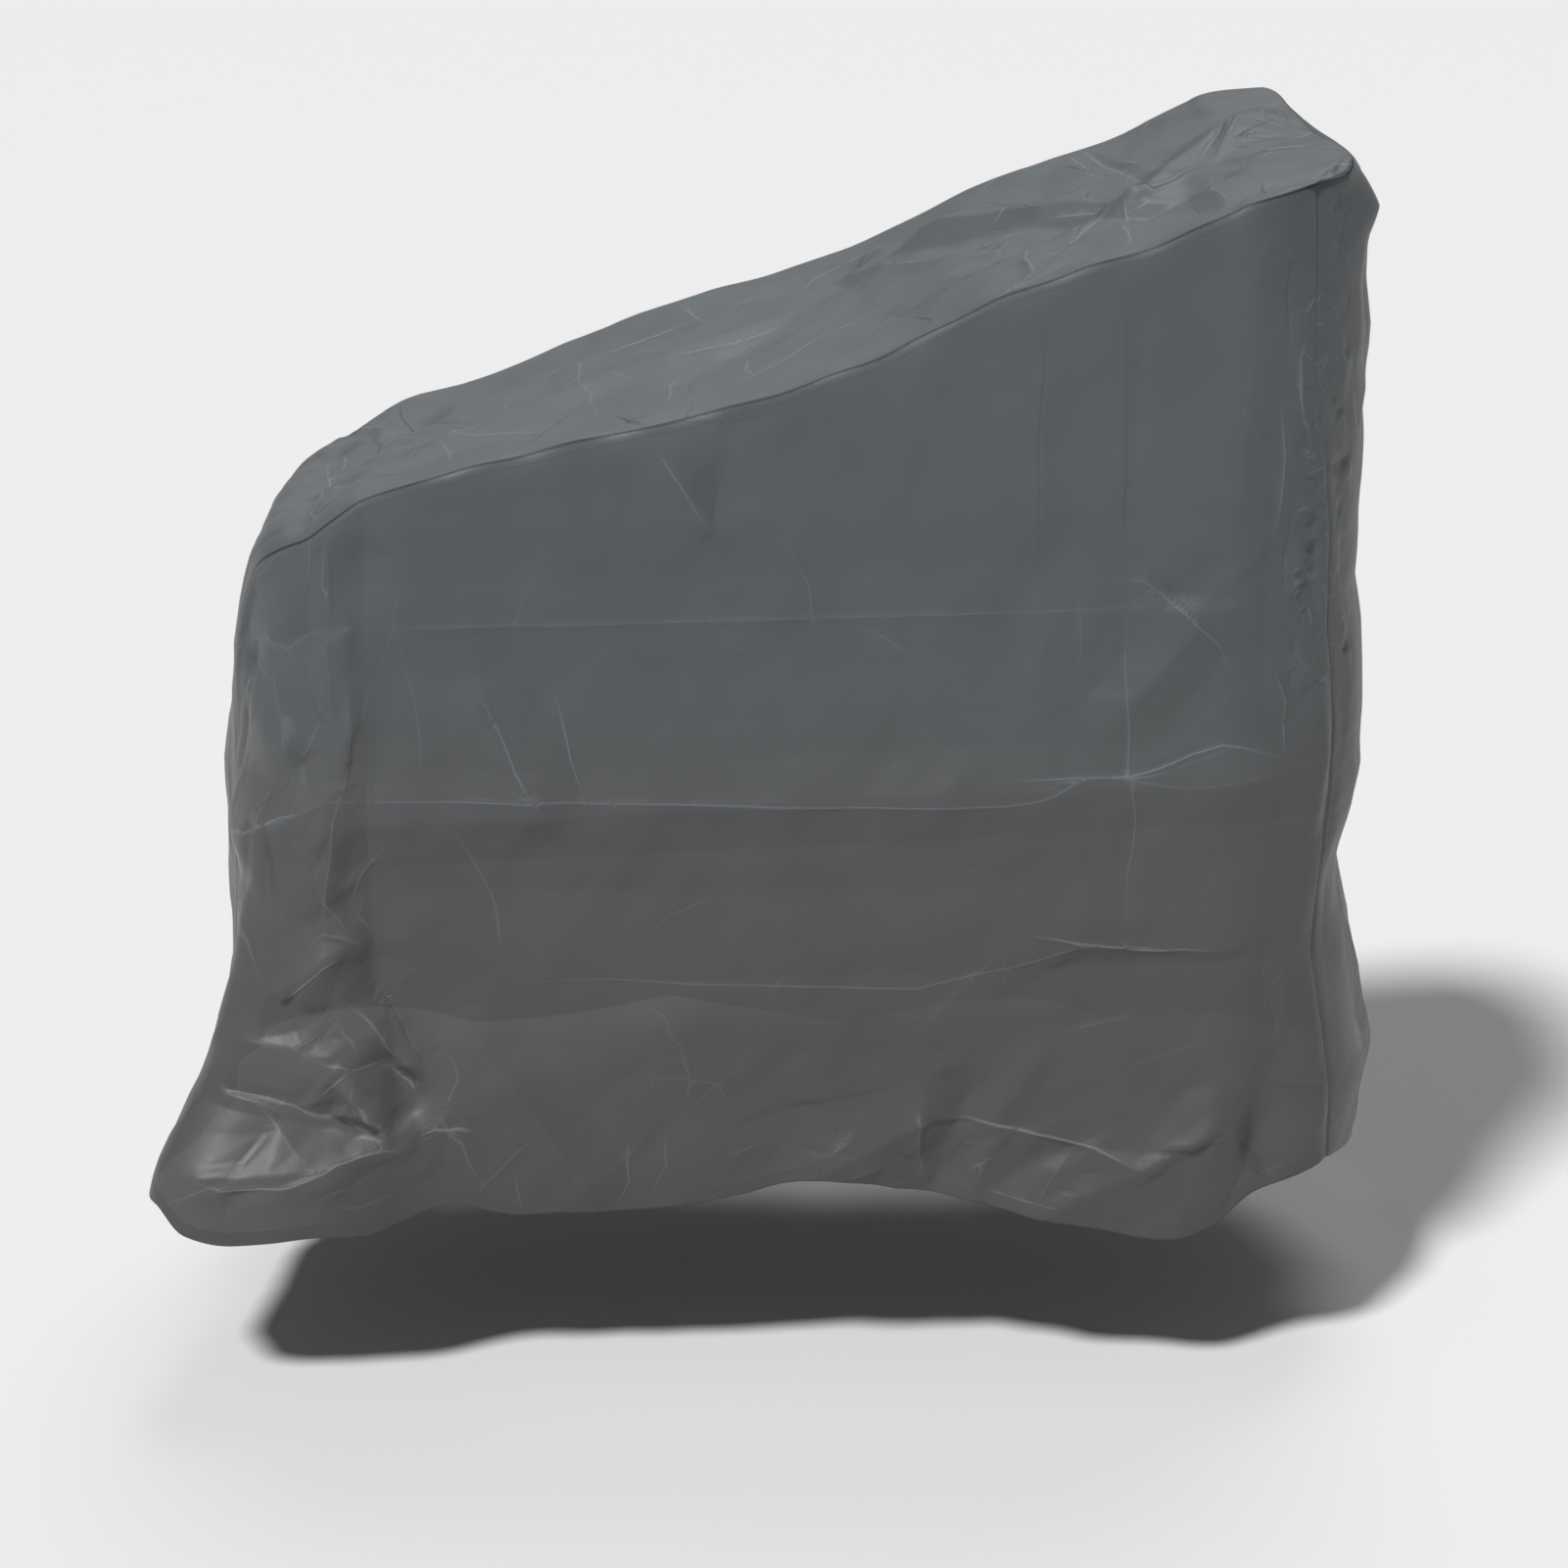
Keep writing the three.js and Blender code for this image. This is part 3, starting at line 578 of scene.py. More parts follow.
class Panel:
    """Base points of one panel with their measures. Its seams are its top and both of its sides."""

    def __init__(self, points, faint):
        self.base = points
        self.across = running_length(points, 1)
        self.down = running_length(points, 0)
        self.width = self.across[:, -1:]
        self.drop = self.down[-1:, :]
        edges = {"first": self.across, "last": self.width - self.across, "top": self.down}
        self.away = np.minimum.reduce(list(edges.values()))
        self.edges = edges
        low_down = soft_step((SEAM_CLEAR_ABOVE - points[..., 2]) / SEAM_FADE_HEIGHT)
        sides = np.minimum(edges["first"], edges["last"]) + SEAM_FADE * (1.0 if faint else low_down)
        self.seam = np.minimum(edges["top"], sides)
        self.roll = np.zeros(points.shape[:2])
        self.from_hem = self.drop - self.down
        normal = outward_normals(points)
        middle = np.array([0.0, WIDTH / 2.0, 400.0])
        outwards = np.sum((points - middle) * normal) > 0
        self.normal = normal if outwards else -normal
        self.lines = np.full(points.shape[:2], LINE_REACH), np.zeros(points.shape[:2])


near = Panel(near_base, faint=True)
far = Panel(far_base, faint=True)
strip = Panel(strip_base, faint=False)
front = Panel(front_base, faint=True)
print("strip's length and width, mm:", np.round(strip.drop.mean()), np.round(strip.width.mean()))

# %% [markdown]
# ## Creases
#
# Folding the cloth for its bag leaves sharp ridges and troughs with flat facets between them, and each
# facet catches the light in its own way. A crease here is a path with a slope to either side: power 1
# gives flat facets, and 2 a pinch that is sharp at its crest and soft at its feet. The large ones are
# placed one by one, after the photo. The line of a crease says how strong its painted mark is: above 0
# it gets a pale painted highlight, partly a scuffed coat, below 0 a dark painted shade, and 0 no mark.

# %% Crease shapes


def path_distance(path, u, w):
    """Distance to a path, which side of it a point lies on, and how far along from its nearer end."""
    points = np.asarray(path, float)
    lengths = np.hypot(*np.diff(points, axis=0).T)
    best = np.full(u.shape, np.inf)
    side = np.zeros(u.shape)
    place = np.zeros(u.shape)
    start = 0.0
    for (u1, w1), (u2, w2), length in zip(points[:-1], points[1:], lengths):
        du, dw = (u2 - u1) / length, (w2 - w1) / length
        along = np.clip((u - u1) * du + (w - w1) * dw, 0.0, length)
        off = np.hypot(u - u1 - along * du, w - w1 - along * dw)
        nearer = off < best
        best = np.where(nearer, off, best)
        side = np.where(nearer, du * (w - w1) - dw * (u - u1), side)
        place = np.where(nearer, start + along, place)
        start += length
    return best, side, np.minimum(place, start - place), start


def crease_height(creases, u, w):
    total = np.zeros(u.shape)
    for crease in creases:
        path = np.asarray(crease["path"], float)
        reach = max(crease["left"], crease["right"])
        low, high = path.min(0) - reach, path.max(0) + reach
        near_it = (u > low[0]) & (u < high[0]) & (w > low[1]) & (w < high[1])
        if not near_it.any():
            continue
        off, side, from_end, length = path_distance(path, u[near_it], w[near_it])
        width = np.where(side > 0.0, crease["left"], crease["right"])
        fade = soft_step(from_end / (crease["tip"] * length))
        share = np.clip(1.0 - off / width, 0.0, 1.0)
        total[near_it] += crease["height"] * share ** crease["power"] * fade
    return total


# %% Broad folds from the bag: sharp lines between wide flat facets
NEAR_BAG_FOLDS = table("left right height power tip line path",
    (95, 88, -10.0, 1, 0.03, 1.4, [(-545, 585), (-463, 629), (-388, 638), (-94, 645), (242, 655),
     (321, 660), (354, 676), (449, 664), (545, 690)]),
    (88, 92, 11.0, 1, 0.03, 2.8, [(-560, 386), (-518, 421), (-440, 467), (-331, 468), (0, 466),
     (214, 467), (247, 473), (296, 494), (387, 485), (426, 488), (507, 503), (560, 515)]),
    (92, 70, 7.0, 1, 0.06, 2.0, [(-400, 272), (-170, 283), (-97, 277), (130, 272), (241, 300), (296, 318),
     (434, 312), (520, 350)]),
    (8, 12, 1.6, 2, 0.1, 0, [(-388, 638), (-94, 645), (242, 655)]),
    (9, 9, 1.4, 2, 0.1, 0, [(-331, 468), (0, 466), (214, 467)]),
    (7, 16, 1.6, 2, 0.1, 0, [(226, 338), (241, 333), (296, 318), (434, 312)]),
    (60, 44, 1.4, 1, 0.2, 0, [(-88, 640), (-96, 560), (-92, 470)]),
    (30, 30, 4.0, 1, 0.3, 0, [(-501, 658), (-503, 570), (-501, 480)]),
    (42, 42, 6.0, 1, 0.3, 0, [(-419, 678), (-420, 562), (-427, 483)]),
    (28, 28, 6.0, 1, 0.3, 0, [(-438, 460), (-458, 381), (-451, 316)]),
)
FAR_BAG_FOLDS = table("left right height power tip line path",
    (90, 90, -10.0, 1, 0.03, 2.4, [(-540, 610), (-300, 622), (0, 640), (300, 648), (540, 660)]),
    (90, 90, 11.0, 1, 0.03, 2.4, [(-550, 430), (-250, 448), (100, 470), (540, 480)]),
    (90, 70, -4.5, 1, 0.05, 1.6, [(-540, 255), (-200, 275), (150, 262), (530, 290)]),
    (50, 64, 3.0, 1, 0.35, 0, [(200, 950), (206, 700), (198, 420)]),
    (60, 50, -3.0, 1, 0.35, 0, [(-80, 860), (-74, 600), (-82, 300)]),
)
FRONT_BAG_FOLDS = table("left right height power tip line path",
    (60, 60, 2.0, 1, 0.08, 1.6, [(40, 903), (161, 880), (440, 872)]),
    (80, 80, -2.4, 1, 0.05, 1.6, [(60, 692), (200, 686), (450, 690)]),
    (85, 85, 2.4, 1, 0.05, 1.6, [(60, 520), (230, 505), (450, 512)]),
    (85, 80, -2.4, 1, 0.05, 1.6, [(60, 350), (220, 330), (450, 322)]),
    (70, 70, -2.4, 1, 0.35, 0, [(252, 1050), (246, 700), (250, 300), (244, 60)]),
)
REAR_BAG_FOLDS = table("left right height power tip line path",
    (50, 70, -2.4, 1, 0.08, 1.6, [(130, 596), (260, 590), (400, 600)]),
    (80, 80, 2.4, 1, 0.05, 1.6, [(120, 440), (250, 432), (420, 446)]),
    (80, 80, -2.4, 1, 0.05, 1.6, [(110, 268), (260, 262), (430, 270)]),
    (60, 60, 2.0, 1, 0.35, 0, [(250, 600), (256, 400), (248, 200), (252, 60)]),
)

# %% Rows of creases


def crease_table(*values):
    """Creases from rows that give the height, the line and then the path's points."""
    return [{"height": height, "line": line, "path": path} for height, line, *path in values]


# %% Creases of the near side, in x and height
NEAR_CREASES = crease_table(
    (-1.0, -2.0, (241, 985), (240, 820), (238, 640)),
    (-1.2, -2.2, (318, 968), (324, 760), (326, 679)),
    (1.2, 2.0, (326, 679), (332, 500), (337, 319)),
    (1.4, 2.0, (524, 705), (530, 610), (532, 509)),
    (2.2, 3.6, (198, 486), (331, 494), (424, 524), (494, 499)),
    (2.2, 4.0, (227, 332), (288, 319), (435, 308)),
    (-3.0, -2.0, (479, 326), (484, 240), (483, 162)),
    (2.4, 2.4, (300, 692), (344, 684), (380, 655), (416, 623), (432, 585)),
    (-1.8, -1.8, (352, 700), (372, 672), (396, 655)),
    (2.6, 2.4, (-125, 822), (-98, 780), (-70, 735)),
    (-1.8, -1.4, (-49, 818), (-63, 774), (-72, 726)),
    (-2.4, -1.6, (-110, 838), (-50, 838), (3, 847)),
    (2.5, 2.5, (-300, 590), (-287, 561), (-242, 468), (-226, 452)),
    (2.6, 2.6, (-224, 580), (-217, 558), (-190, 465)),
    (1.6, 1.6, (-330, 455), (-290, 380), (-268, 300)),
    (1.8, 1.0, (-375, 640), (-352, 560), (-348, 480)),
)

# %% Creases of the rear corner and of the flare at its foot, in x and height
CORNER_CREASES = crease_table(
    (-3.0, -1.2, (-401, 764), (-404, 640)),
    (-2.0, -0.8, (-396, 590), (-397, 480), (-403, 340)),
    (7.0, 0.9, (-497, 583), (-477, 512), (-471, 476)),
    (-6.0, -1.6, (-472, 532), (-458, 478)),
    (-2.6, 1.6, (-534, 600), (-485, 608), (-460, 628), (-414, 643)),
    (-3.0, -3.0, (-534, 597), (-497, 571)),
    (4.4, 3.4, (-549, 399), (-519, 420), (-476, 448), (-443, 467), (-424, 478)),
    (5.0, 2.0, (-547, 319), (-514, 269)),
    (-6.0, -1.4, (-467, 421), (-452, 361)),
    (3.0, 2.0, (-470, 313), (-451, 329), (-411, 315)),
    (6.0, 0.8, (-436, 745), (-440, 620), (-436, 520)),
    (2.6, 1.0, (-461, 700), (-459, 655)),
    (5.0, 1.8, (-420, 583), (-418, 536), (-426, 480), (-438, 439), (-448, 362), (-426, 324), (-409, 315)),
    (-5.0, -1.0, (-494, 480), (-500, 400), (-496, 330)),
    (3.4, 1.4, (-511, 430), (-519, 371), (-544, 330), (-539, 321), (-515, 268)),
    (5.0, 4.6, (-494, 258), (-470, 280), (-451, 299), (-430, 312)),
    (-3.6, -1.6, (-510, 276), (-494, 256), (-480, 232), (-467, 208)),
    (-3.0, -2.0, (-467, 208), (-450, 234), (-432, 262)),
    (6.0, 2.6, (-432, 262), (-404, 232), (-369, 193)),
    (2.4, 1.6, (-440, 240), (-425, 222), (-420, 206)),
    (-4.0, -4.0, (-405, 303), (-395, 266), (-374, 229), (-359, 200), (-359, 170)),
    (1.4, 0.6, (-520, 222), (-486, 217), (-450, 208)),
    (-7.0, 3.0, (-560, 169), (-529, 166), (-485, 156), (-448, 143), (-416, 130), (-392, 118)),
    (3.6, 1.6, (-529, 163), (-500, 134), (-464, 103)),
    (-4.0, 4.4, (-462, 161), (-446, 178), (-429, 196)),
    (6.0, 3.0, (-429, 196), (-427, 169), (-412, 143), (-392, 118)),
    (-3.0, 3.0, (-467, 208), (-448, 203), (-429, 196), (-391, 196), (-365, 201)),
    (-5.0, 6.0, (-391, 192), (-378, 178), (-365, 160)),
    (3.0, 2.0, (-444, 146), (-432, 162), (-420, 146)),
    (-3.0, -2.4, (-384, 150), (-392, 118)),
    (5.0, 4.4, (-584, 100), (-576, 89), (-552, 82), (-511, 86), (-455, 97), (-418, 107), (-372, 109)),
    (-2.4, -2.4, (-549, 80), (-554, 46)),
    (-3.0, 2.4, (-538, 100), (-534, 110), (-512, 133)),
    (4.0, 4.4, (-372, 117), (-345, 124), (-323, 126), (-309, 120)),
    (3.0, 1.4, (-350, 150), (-320, 110), (-300, 60)),
    (2.0, 1.0, (-455, 66), (-430, 60), (-380, 66)),
)

# %% Creases of the hem and of the front corner, in x and height
HEM_CREASES = crease_table(
    (-2.6, -1.6, (15, 108), (43, 96)),
    (3.0, 1.6, (42, 94), (72, 114)),
    (2.6, 1.6, (60, 69), (100, 84)),
    (-3.6, -1.6, (110, 137), (122, 94), (140, 60)),
    (4.0, 2.0, (139, 140), (141, 66)),
    (5.0, 4.4, (144, 134), (200, 128), (253, 119), (312, 106), (370, 83)),
    (3.4, 1.6, (194, 56), (200, 92), (231, 122)),
    (3.4, 1.6, (250, 44), (272, 80), (290, 104)),
    (-3.4, -1.2, (168, 126), (182, 96), (176, 62)),
    (-3.4, -1.2, (224, 110), (240, 80), (238, 50)),
    (-2.4, -0.8, (-40, 128), (20, 148), (90, 142)),
    (2.4, 0.8, (-190, 66), (-150, 96), (-120, 140)),
    (-6.0, -4.0, (362, 105), (401, 104), (449, 113)),
    (-5.0, -2.4, (447, 131), (475, 87), (484, 71), (480, 55)),
    (-5.0, -2.4, (481, 158), (521, 156), (556, 150)),
    (4.0, 2.4, (539, 139), (552, 112)),
    (2.6, 0.6, (300, 150), (350, 190), (420, 215)),
    (-2.0, -0.6, (250, 160), (290, 230), (300, 300)),
    (3.6, 3.6, (495, 925), (486, 892), (489, 845), (503, 808)),
    (-2.4, -2.4, (478, 1010), (470, 960), (476, 900)),
    (2.6, 2.6, (468, 860), (474, 800), (468, 720)),
    (-2.6, -2.6, (488, 770), (480, 700), (488, 640)),
    (2.2, 2.2, (470, 600), (482, 560), (478, 500)),
)

# %% Creases of the strip over the top, in x and y
TOP_CREASES = crease_table(
    (2.4, -1.8, (181, 400), (241, 244), (302, 197)),
    (3.0, -2.4, (281, 428), (340, 254)),
    (-3.0, 2.6, (303, 477), (355, 200)),
    (3.0, 2.0, (293, 453), (320, 300)),
    (4.0, -2.0, (336, 213), (285, 128), (236, 41)),
    (-3.0, 2.0, (322, 176), (259, 83), (222, 34)),
    (3.4, 2.6, (329, 165), (322, 90), (308, 20)),
    (-4.0, -3.0, (336, 213), (358, 169), (389, 194), (412, 196)),
    (5.0, -2.4, (412, 196), (437, 259), (468, 367)),
    (-3.0, 2.4, (403, 206), (427, 262), (447, 320)),
    (4.0, -2.6, (416, 190), (466, 180), (512, 186)),
    (-3.0, -2.0, (371, 302), (389, 204)),
    (3.0, -2.0, (434, 230), (488, 290)),
    (-2.4, -2.0, (346, 150), (385, 148)),
    (4.0, 1.4, (409, 183), (405, 100), (401, 19)),
    (-3.0, -1.0, (384, 93), (382, 32)),
    (3.4, 2.4, (240, 179), (230, 90), (218, 18)),
    (2.4, 2.4, (481, 312), (509, 306)),
    (-4.0, -2.4, (497, 54), (516, 80), (531, 124)),
    (3.6, 2.4, (-343, 384), (-209, 319), (-76, 376), (20, 430)),
    (4.0, 2.4, (-429, 324), (-305, 124), (-202, 43)),
    (2.4, 1.4, (-220, 433), (-205, 230), (-192, 34)),
    (-3.0, -3.0, (-165, 73), (-149, 37), (-131, 13)),
    (3.4, 3.0, (-108, 438), (-90, 380), (-75, 327)),
    (3.6, 1.6, (20, 352), (73, 340), (117, 274), (161, 228), (232, 190)),
    (-2.4, -2.4, (340, 280), (250, 310), (160, 300)),
    (3.6, 3.6, (-448, 450), (-413, 340), (-405, 349)),
    (-2.6, -2.6, (-410, 470), (-380, 330), (-300, 210)),
    (2.2, 2.2, (-60, 60), (40, 150), (120, 170)),
    (-2.0, -2.0, (20, 40), (110, 110), (230, 120)),
    (3.0, 3.0, (-465, 320), (-450, 127), (-455, 74), (-456, 10)),
)

# %% Creases of the front panel and of the strip down the rear, in y and height
FRONT_CREASES = crease_table(
    (-4.0, -3.0, (72, 1060), (75, 1040), (76, 1010)),
    (-4.5, -3.0, (98, 1046), (80, 1016), (67, 975)),
    (4.0, 4.0, (70, 165), (180, 158), (440, 170)),
    (2.6, 2.6, (180, 980), (130, 860), (90, 740)),
    (2.6, 2.6, (330, 1000), (380, 880), (420, 760)),
    (5.0, 5.0, (150, 300), (200, 200), (190, 90)),
    (-5.0, -5.0, (360, 260), (320, 160), (330, 60)),
)
REAR_CREASES = crease_table(
    (2.4, 2.4, (180, 560), (160, 420), (190, 300)),
    (3.6, 3.6, (350, 520), (380, 400), (360, 330)),
    (5.0, 5.0, (170, 210), (200, 130), (180, 60)),
    (-4.5, -4.5, (330, 230), (360, 150), (350, 60)),
)

# %% Creases of the far side, in x and height
FAR_CREASES = crease_table(
    (4.5, 4.5, (420, 1000), (350, 860), (310, 740)),
    (4.0, 4.0, (-430, 740), (-360, 620), (-330, 520)),
    (4.5, 4.5, (-240, 230), (-180, 130), (-170, 50)),
    (4.5, 4.5, (330, 250), (360, 150), (350, 50)),
    (-4.5, -4.5, (40, 230), (90, 140), (80, 50)),
    (4.5, 4.5, (-470, 300), (-500, 180), (-540, 90)),
    (-2.8, -2.8, (90, 800), (140, 690), (120, 600)),
)

# %% [markdown]
# ## Small crinkles
#
# Between the large creases the coated cloth is crinkled at random, most of all where it is pinched:
# by the front seam, round the rear corner, in the flare and above the hem. Seeded random creases fill
# these places, each short and shallow, a few long faint ones cross the rest, and the seed keeps every
# run alike.

# %% Scattered crinkles
NEAR_CRINKLES = table("low high count length height lean",
    ((-560, 300), (-395, 760), 24, (40, 120), (0.8, 3.0), 80),
    ((-640, 60), (-330, 310), 12, (24, 70), (0.8, 2.4), 25),
    ((-330, 40), (-40, 190), 10, (40, 110), (0.6, 2.0), 60),
    ((-60, 40), (310, 130), 22, (16, 44), (0.8, 2.4), 60),
    ((300, 10), (560, 150), 6, (30, 70), (0.6, 1.6), 60),
    ((492, 560), (560, 1000), 80, (10, 34), (1.0, 3.6), 10),
    ((468, 190), (560, 560), 14, (20, 60), (0.5, 1.6), 10),
    ((-400, 150), (462, 900), 36, (60, 180), (0.3, 1.3), 90),
)
FAR_CRINKLES = table("low high count length height lean",
    ((-560, 150), (-395, 760), 26, (40, 110), (0.8, 2.8), 80),
    ((-560, 30), (560, 170), 36, (24, 80), (0.8, 2.8), 60),
    ((468, 560), (560, 1000), 50, (12, 50), (0.8, 2.4), 10),
    ((-400, 150), (462, 900), 44, (60, 180), (0.3, 1.6), 90),
)
TOP_CRINKLES = table("low high count length height lean",
    ((200, 20), (560, 480), 40, (24, 110), (0.8, 2.6), 60),
    ((-400, 0), (200, 500), 40, (40, 160), (0.6, 2.2), 90),
    ((-560, 60), (-400, 470), 24, (24, 90), (0.6, 2.2), 20),
)
FRONT_EDGE_CRINKLES = table("low high count length height lean",
    ((30, 560), (86, 1000), 60, (10, 34), (1.0, 3.4), 10),
)
UPRIGHT_CRINKLES = table("low high count length height lean",
    ((0, 30), (500, 160), 22, (24, 80), (0.6, 2.4), 60),
    ((0, 160), (500, 1060), 60, (30, 130), (0.4, 1.8), 80),
)
CRINKLE_SPREAD = 45.0

# %% Facets between creases
CREASE_END = 0.25
FIELD_MARGIN = 80.0
SPOT_TOLERANCE = 0.5
BORDER_SPOTS = 14
SMALLEST_AREA = 1e-9
JOIN_DISTANCE = 1e-3
LINE_HEIGHT = 4.0
FAINTEST_LINE = 0.08
CLEAREST_LINE = 1.5


def on_cloth(panel, u, w, points):
    """Places along the cloth of points given in the coordinates u and w, by the nearest grid point."""
    found = []
    for point_u, point_w in points:
        k = np.argmin((u - point_u) ** 2 + (w - point_w) ** 2)
        found.append((panel.across.flat[k], -panel.down.flat[k]))
    return np.array(found)


def hand_paths(panel, u, w, creases):
    paths = []
    for crease in creases:
        points = on_cloth(panel, u, w, crease["path"])
        if len(points) == 2:
            points = np.array([points[0], points.mean(axis=0), points[1]])
        paths.append((points, crease["height"]))
    return paths


def crinkle_paths(panel, u, w, regions, rng):
    paths = []
    for region in regions:
        (low_u, low_w), (high_u, high_w) = region["low"], region["high"]
        rows, columns = np.nonzero((u > low_u) & (u < high_u) & (w > low_w) & (w < high_w))
        for _ in range(region["count"] if len(rows) else 0):
            k = rng.integers(len(rows))
            middle = np.array([panel.across[rows[k], columns[k]], -panel.down[rows[k], columns[k]]])
            length = rng.uniform(*region["length"])
            lean = np.radians(region["lean"] * rng.choice([-1, 1]) + rng.normal(0.0, CRINKLE_SPREAD))
            reach = length / 2.0 * np.array([np.cos(lean), np.sin(lean)])
            bend = rng.normal(0.0, 0.1 * length, 2)
            height = rng.uniform(*region["height"]) * rng.choice([-1, 1])
            paths.append((np.array([middle - reach, middle + bend, middle + reach]), height))
    return paths


def crossing_height(spot, paths):
    """Mean height of the creases that cross at a spot."""
    found = []
    for points, height in paths:
        low, high = points.min(0) - SPOT_TOLERANCE, points.max(0) + SPOT_TOLERANCE
        if (spot < low).any() or (spot > high).any():
            continue
        off, _, from_end, length = path_distance(points, np.array([spot[0]]), np.array([spot[1]]))
        if off[0] < SPOT_TOLERANCE:
            found.append(height * (CREASE_END + (1.0 - CREASE_END) * min(1.0, 2.0 * from_end[0] / length)))
    return float(np.mean(found)) if found else 0.0


def facet_height(panel, paths):
    """Flat facets stretched between the creases, which stand at their heights, and level ground."""
    spots, heights, edges = [], [], []
    for points, height in paths:
        first = len(spots)
        spots.extend(points)
        heights.extend([height * CREASE_END] + [height] * (len(points) - 2) + [height * CREASE_END])
        edges.extend((i, i + 1) for i in range(first, len(spots) - 1))
    across, down = panel.across, -panel.down
    low = np.array([across.min(), down.min()]) - FIELD_MARGIN
    high = np.array([across.max(), down.max()]) + FIELD_MARGIN
    for share in np.linspace(0.0, 1.0, BORDER_SPOTS):
        along = low + (high - low) * share
        spots.extend([(along[0], low[1]), (along[0], high[1]), (low[0], along[1]), (high[0], along[1])])
        heights.extend([0.0] * 4)
    spots = [Vector(spot) for spot in spots]
    corners, _, triangles, origins, _, _ = delaunay_2d_cdt(spots, edges, [], 0, JOIN_DISTANCE)
    corners = np.array([tuple(corner) for corner in corners])
    level = np.array([np.mean([heights[i] for i in origin]) if origin else crossing_height(corner, paths)
                      for corner, origin in zip(corners, origins)])
    total = np.zeros(across.shape)
    for triangle in triangles:
        (x1, y1), (x2, y2), (x3, y3) = corners[triangle]
        area = (x2 - x1) * (y3 - y1) - (x3 - x1) * (y2 - y1)
        box_low, box_high = corners[triangle].min(0), corners[triangle].max(0)
        rows, columns = np.nonzero((across >= box_low[0]) & (across <= box_high[0])
                                   & (down >= box_low[1]) & (down <= box_high[1]))
        if abs(area) < SMALLEST_AREA or not len(rows):
            continue
        u, w = across[rows, columns], down[rows, columns]
        share_2 = ((u - x1) * (y3 - y1) - (x3 - x1) * (w - y1)) / area
        share_3 = ((x2 - x1) * (w - y1) - (u - x1) * (y2 - y1)) / area
        inside = (share_2 >= -1e-9) & (share_3 >= -1e-9) & (share_2 + share_3 <= 1.0 + 1e-9)
        value = level[triangle[0]] * (1.0 - share_2 - share_3) + level[triangle[1]] * share_2
        value += level[triangle[2]] * share_3
        total[rows[inside], columns[inside]] = value[inside]
    return total


def add_lines(panel, u, w, paths, clearness):
    """Distance to the nearest crease, signed by its side, and how strong it is, above 0 on a bright one."""
    side, strength = panel.lines
    for points, height in paths:
        low, high = points.min(0) - LINE_REACH, points.max(0) + LINE_REACH
        rows, columns = np.nonzero((u > low[0]) & (u < high[0]) & (w > low[1]) & (w < high[1]))
        if not len(rows):
            continue
        off, turn, from_end, length = path_distance(points, u[rows, columns], w[rows, columns])
        nearer = off < np.abs(side[rows, columns])
        fade = soft_step(3.0 * from_end / length) * soft_step(1.0 - off / LINE_REACH)
        power = np.clip(abs(height) / LINE_HEIGHT, FAINTEST_LINE, CLEAREST_LINE) * fade * clearness
        rows, columns = rows[nearer], columns[nearer]
        side[rows, columns] = (off * np.where(turn < 0.0, -1.0, 1.0))[nearer]
        strength[rows, columns] = np.sign(height) * power[nearer]


def softened(height, times):
    """The crease's own small radius: each pass averages a point with its neighbours."""
    for _ in range(times):
        padded = np.pad(height, 1, mode="edge")
        height = (2.0 * padded[1:-1, 1:-1] + padded[:-2, 1:-1] + padded[2:, 1:-1]
                  + padded[1:-1, :-2] + padded[1:-1, 2:]) / 6.0
    return height


# %% Network of faint fold lines
CRUMPLE_PASSES = 16
CRUMPLE_LENGTHS = (55.0, 190.0)
FULL_TURN = 6.28  # radians


def crumple(panel, height, seed):
    """Straight sharp fold lines that cross and fade in and out, as on cloth once packed tight."""
    rng = np.random.default_rng(seed)
    total = np.zeros(panel.across.shape)
    for _ in range(CRUMPLE_PASSES):
        angle = rng.uniform(0.0, np.pi)
        length = rng.uniform(*CRUMPLE_LENGTHS)
        phase = rng.uniform(0.0, 1.0, 4)
        along = panel.across * np.cos(angle) - panel.down * np.sin(angle)
        beside = panel.across * np.sin(angle) + panel.down * np.cos(angle)
        wave = along / length + phase[0] + 0.3 * np.sin(beside / (length * 1.9) + FULL_TURN * phase[1])
        fold = np.abs(2.0 * (wave % 1.0) - 1.0) - 0.5
        patch = np.sin(beside / (length * 0.8) + FULL_TURN * phase[2])
        patch *= np.sin(along / length * 1.7 + FULL_TURN * phase[3])
        total += fold * soft_step(patch * 1.6) * length / CRUMPLE_LENGTHS[1]
    return height * total


# %% [markdown]
# ## Seams
#
# A sewn seam pulls the cloth in. It lies in a shallow groove, its line wanders a little, and the cloth
# beside it is gathered into puckers that run square to the seam and die out within a few centimetres.
# The groove and the wander depend on the place alone, so both panels of a seam move together.

# %% Seam shapes
GROOVE_DEPTH = 2.0
GROOVE_WIDTH = 4.5
WANDER = 0.8
WANDER_WIDTH = 16.0
SEAM_REST = 9.0
RIPPLE_LENGTHS = (17.0, 29.0, 53.0)
TOP_BAND = 60.0
END_FROM = 420.0
END_BAND = 120.0
PUCKER_START = 3.0


def inward(points):
    """Direction into the cover: down near the top, lengthways near the two ends, and across."""
    x, y, z = np.moveaxis(points, -1, 0)
    to_top = np.clip(1.0 - (top_seam(x) - z) / TOP_BAND, 0.0, 1.0)
    lengthways = -np.sign(x) * np.clip((np.abs(x) - END_FROM) / END_BAND, 0.0, 1.0)
    across = (WIDTH / 2.0 - y) / (WIDTH / 2.0)
    direction = np.stack([lengthways, across, -to_top], axis=-1)
    return direction / np.maximum(np.linalg.norm(direction, axis=-1, keepdims=True), 0.3)


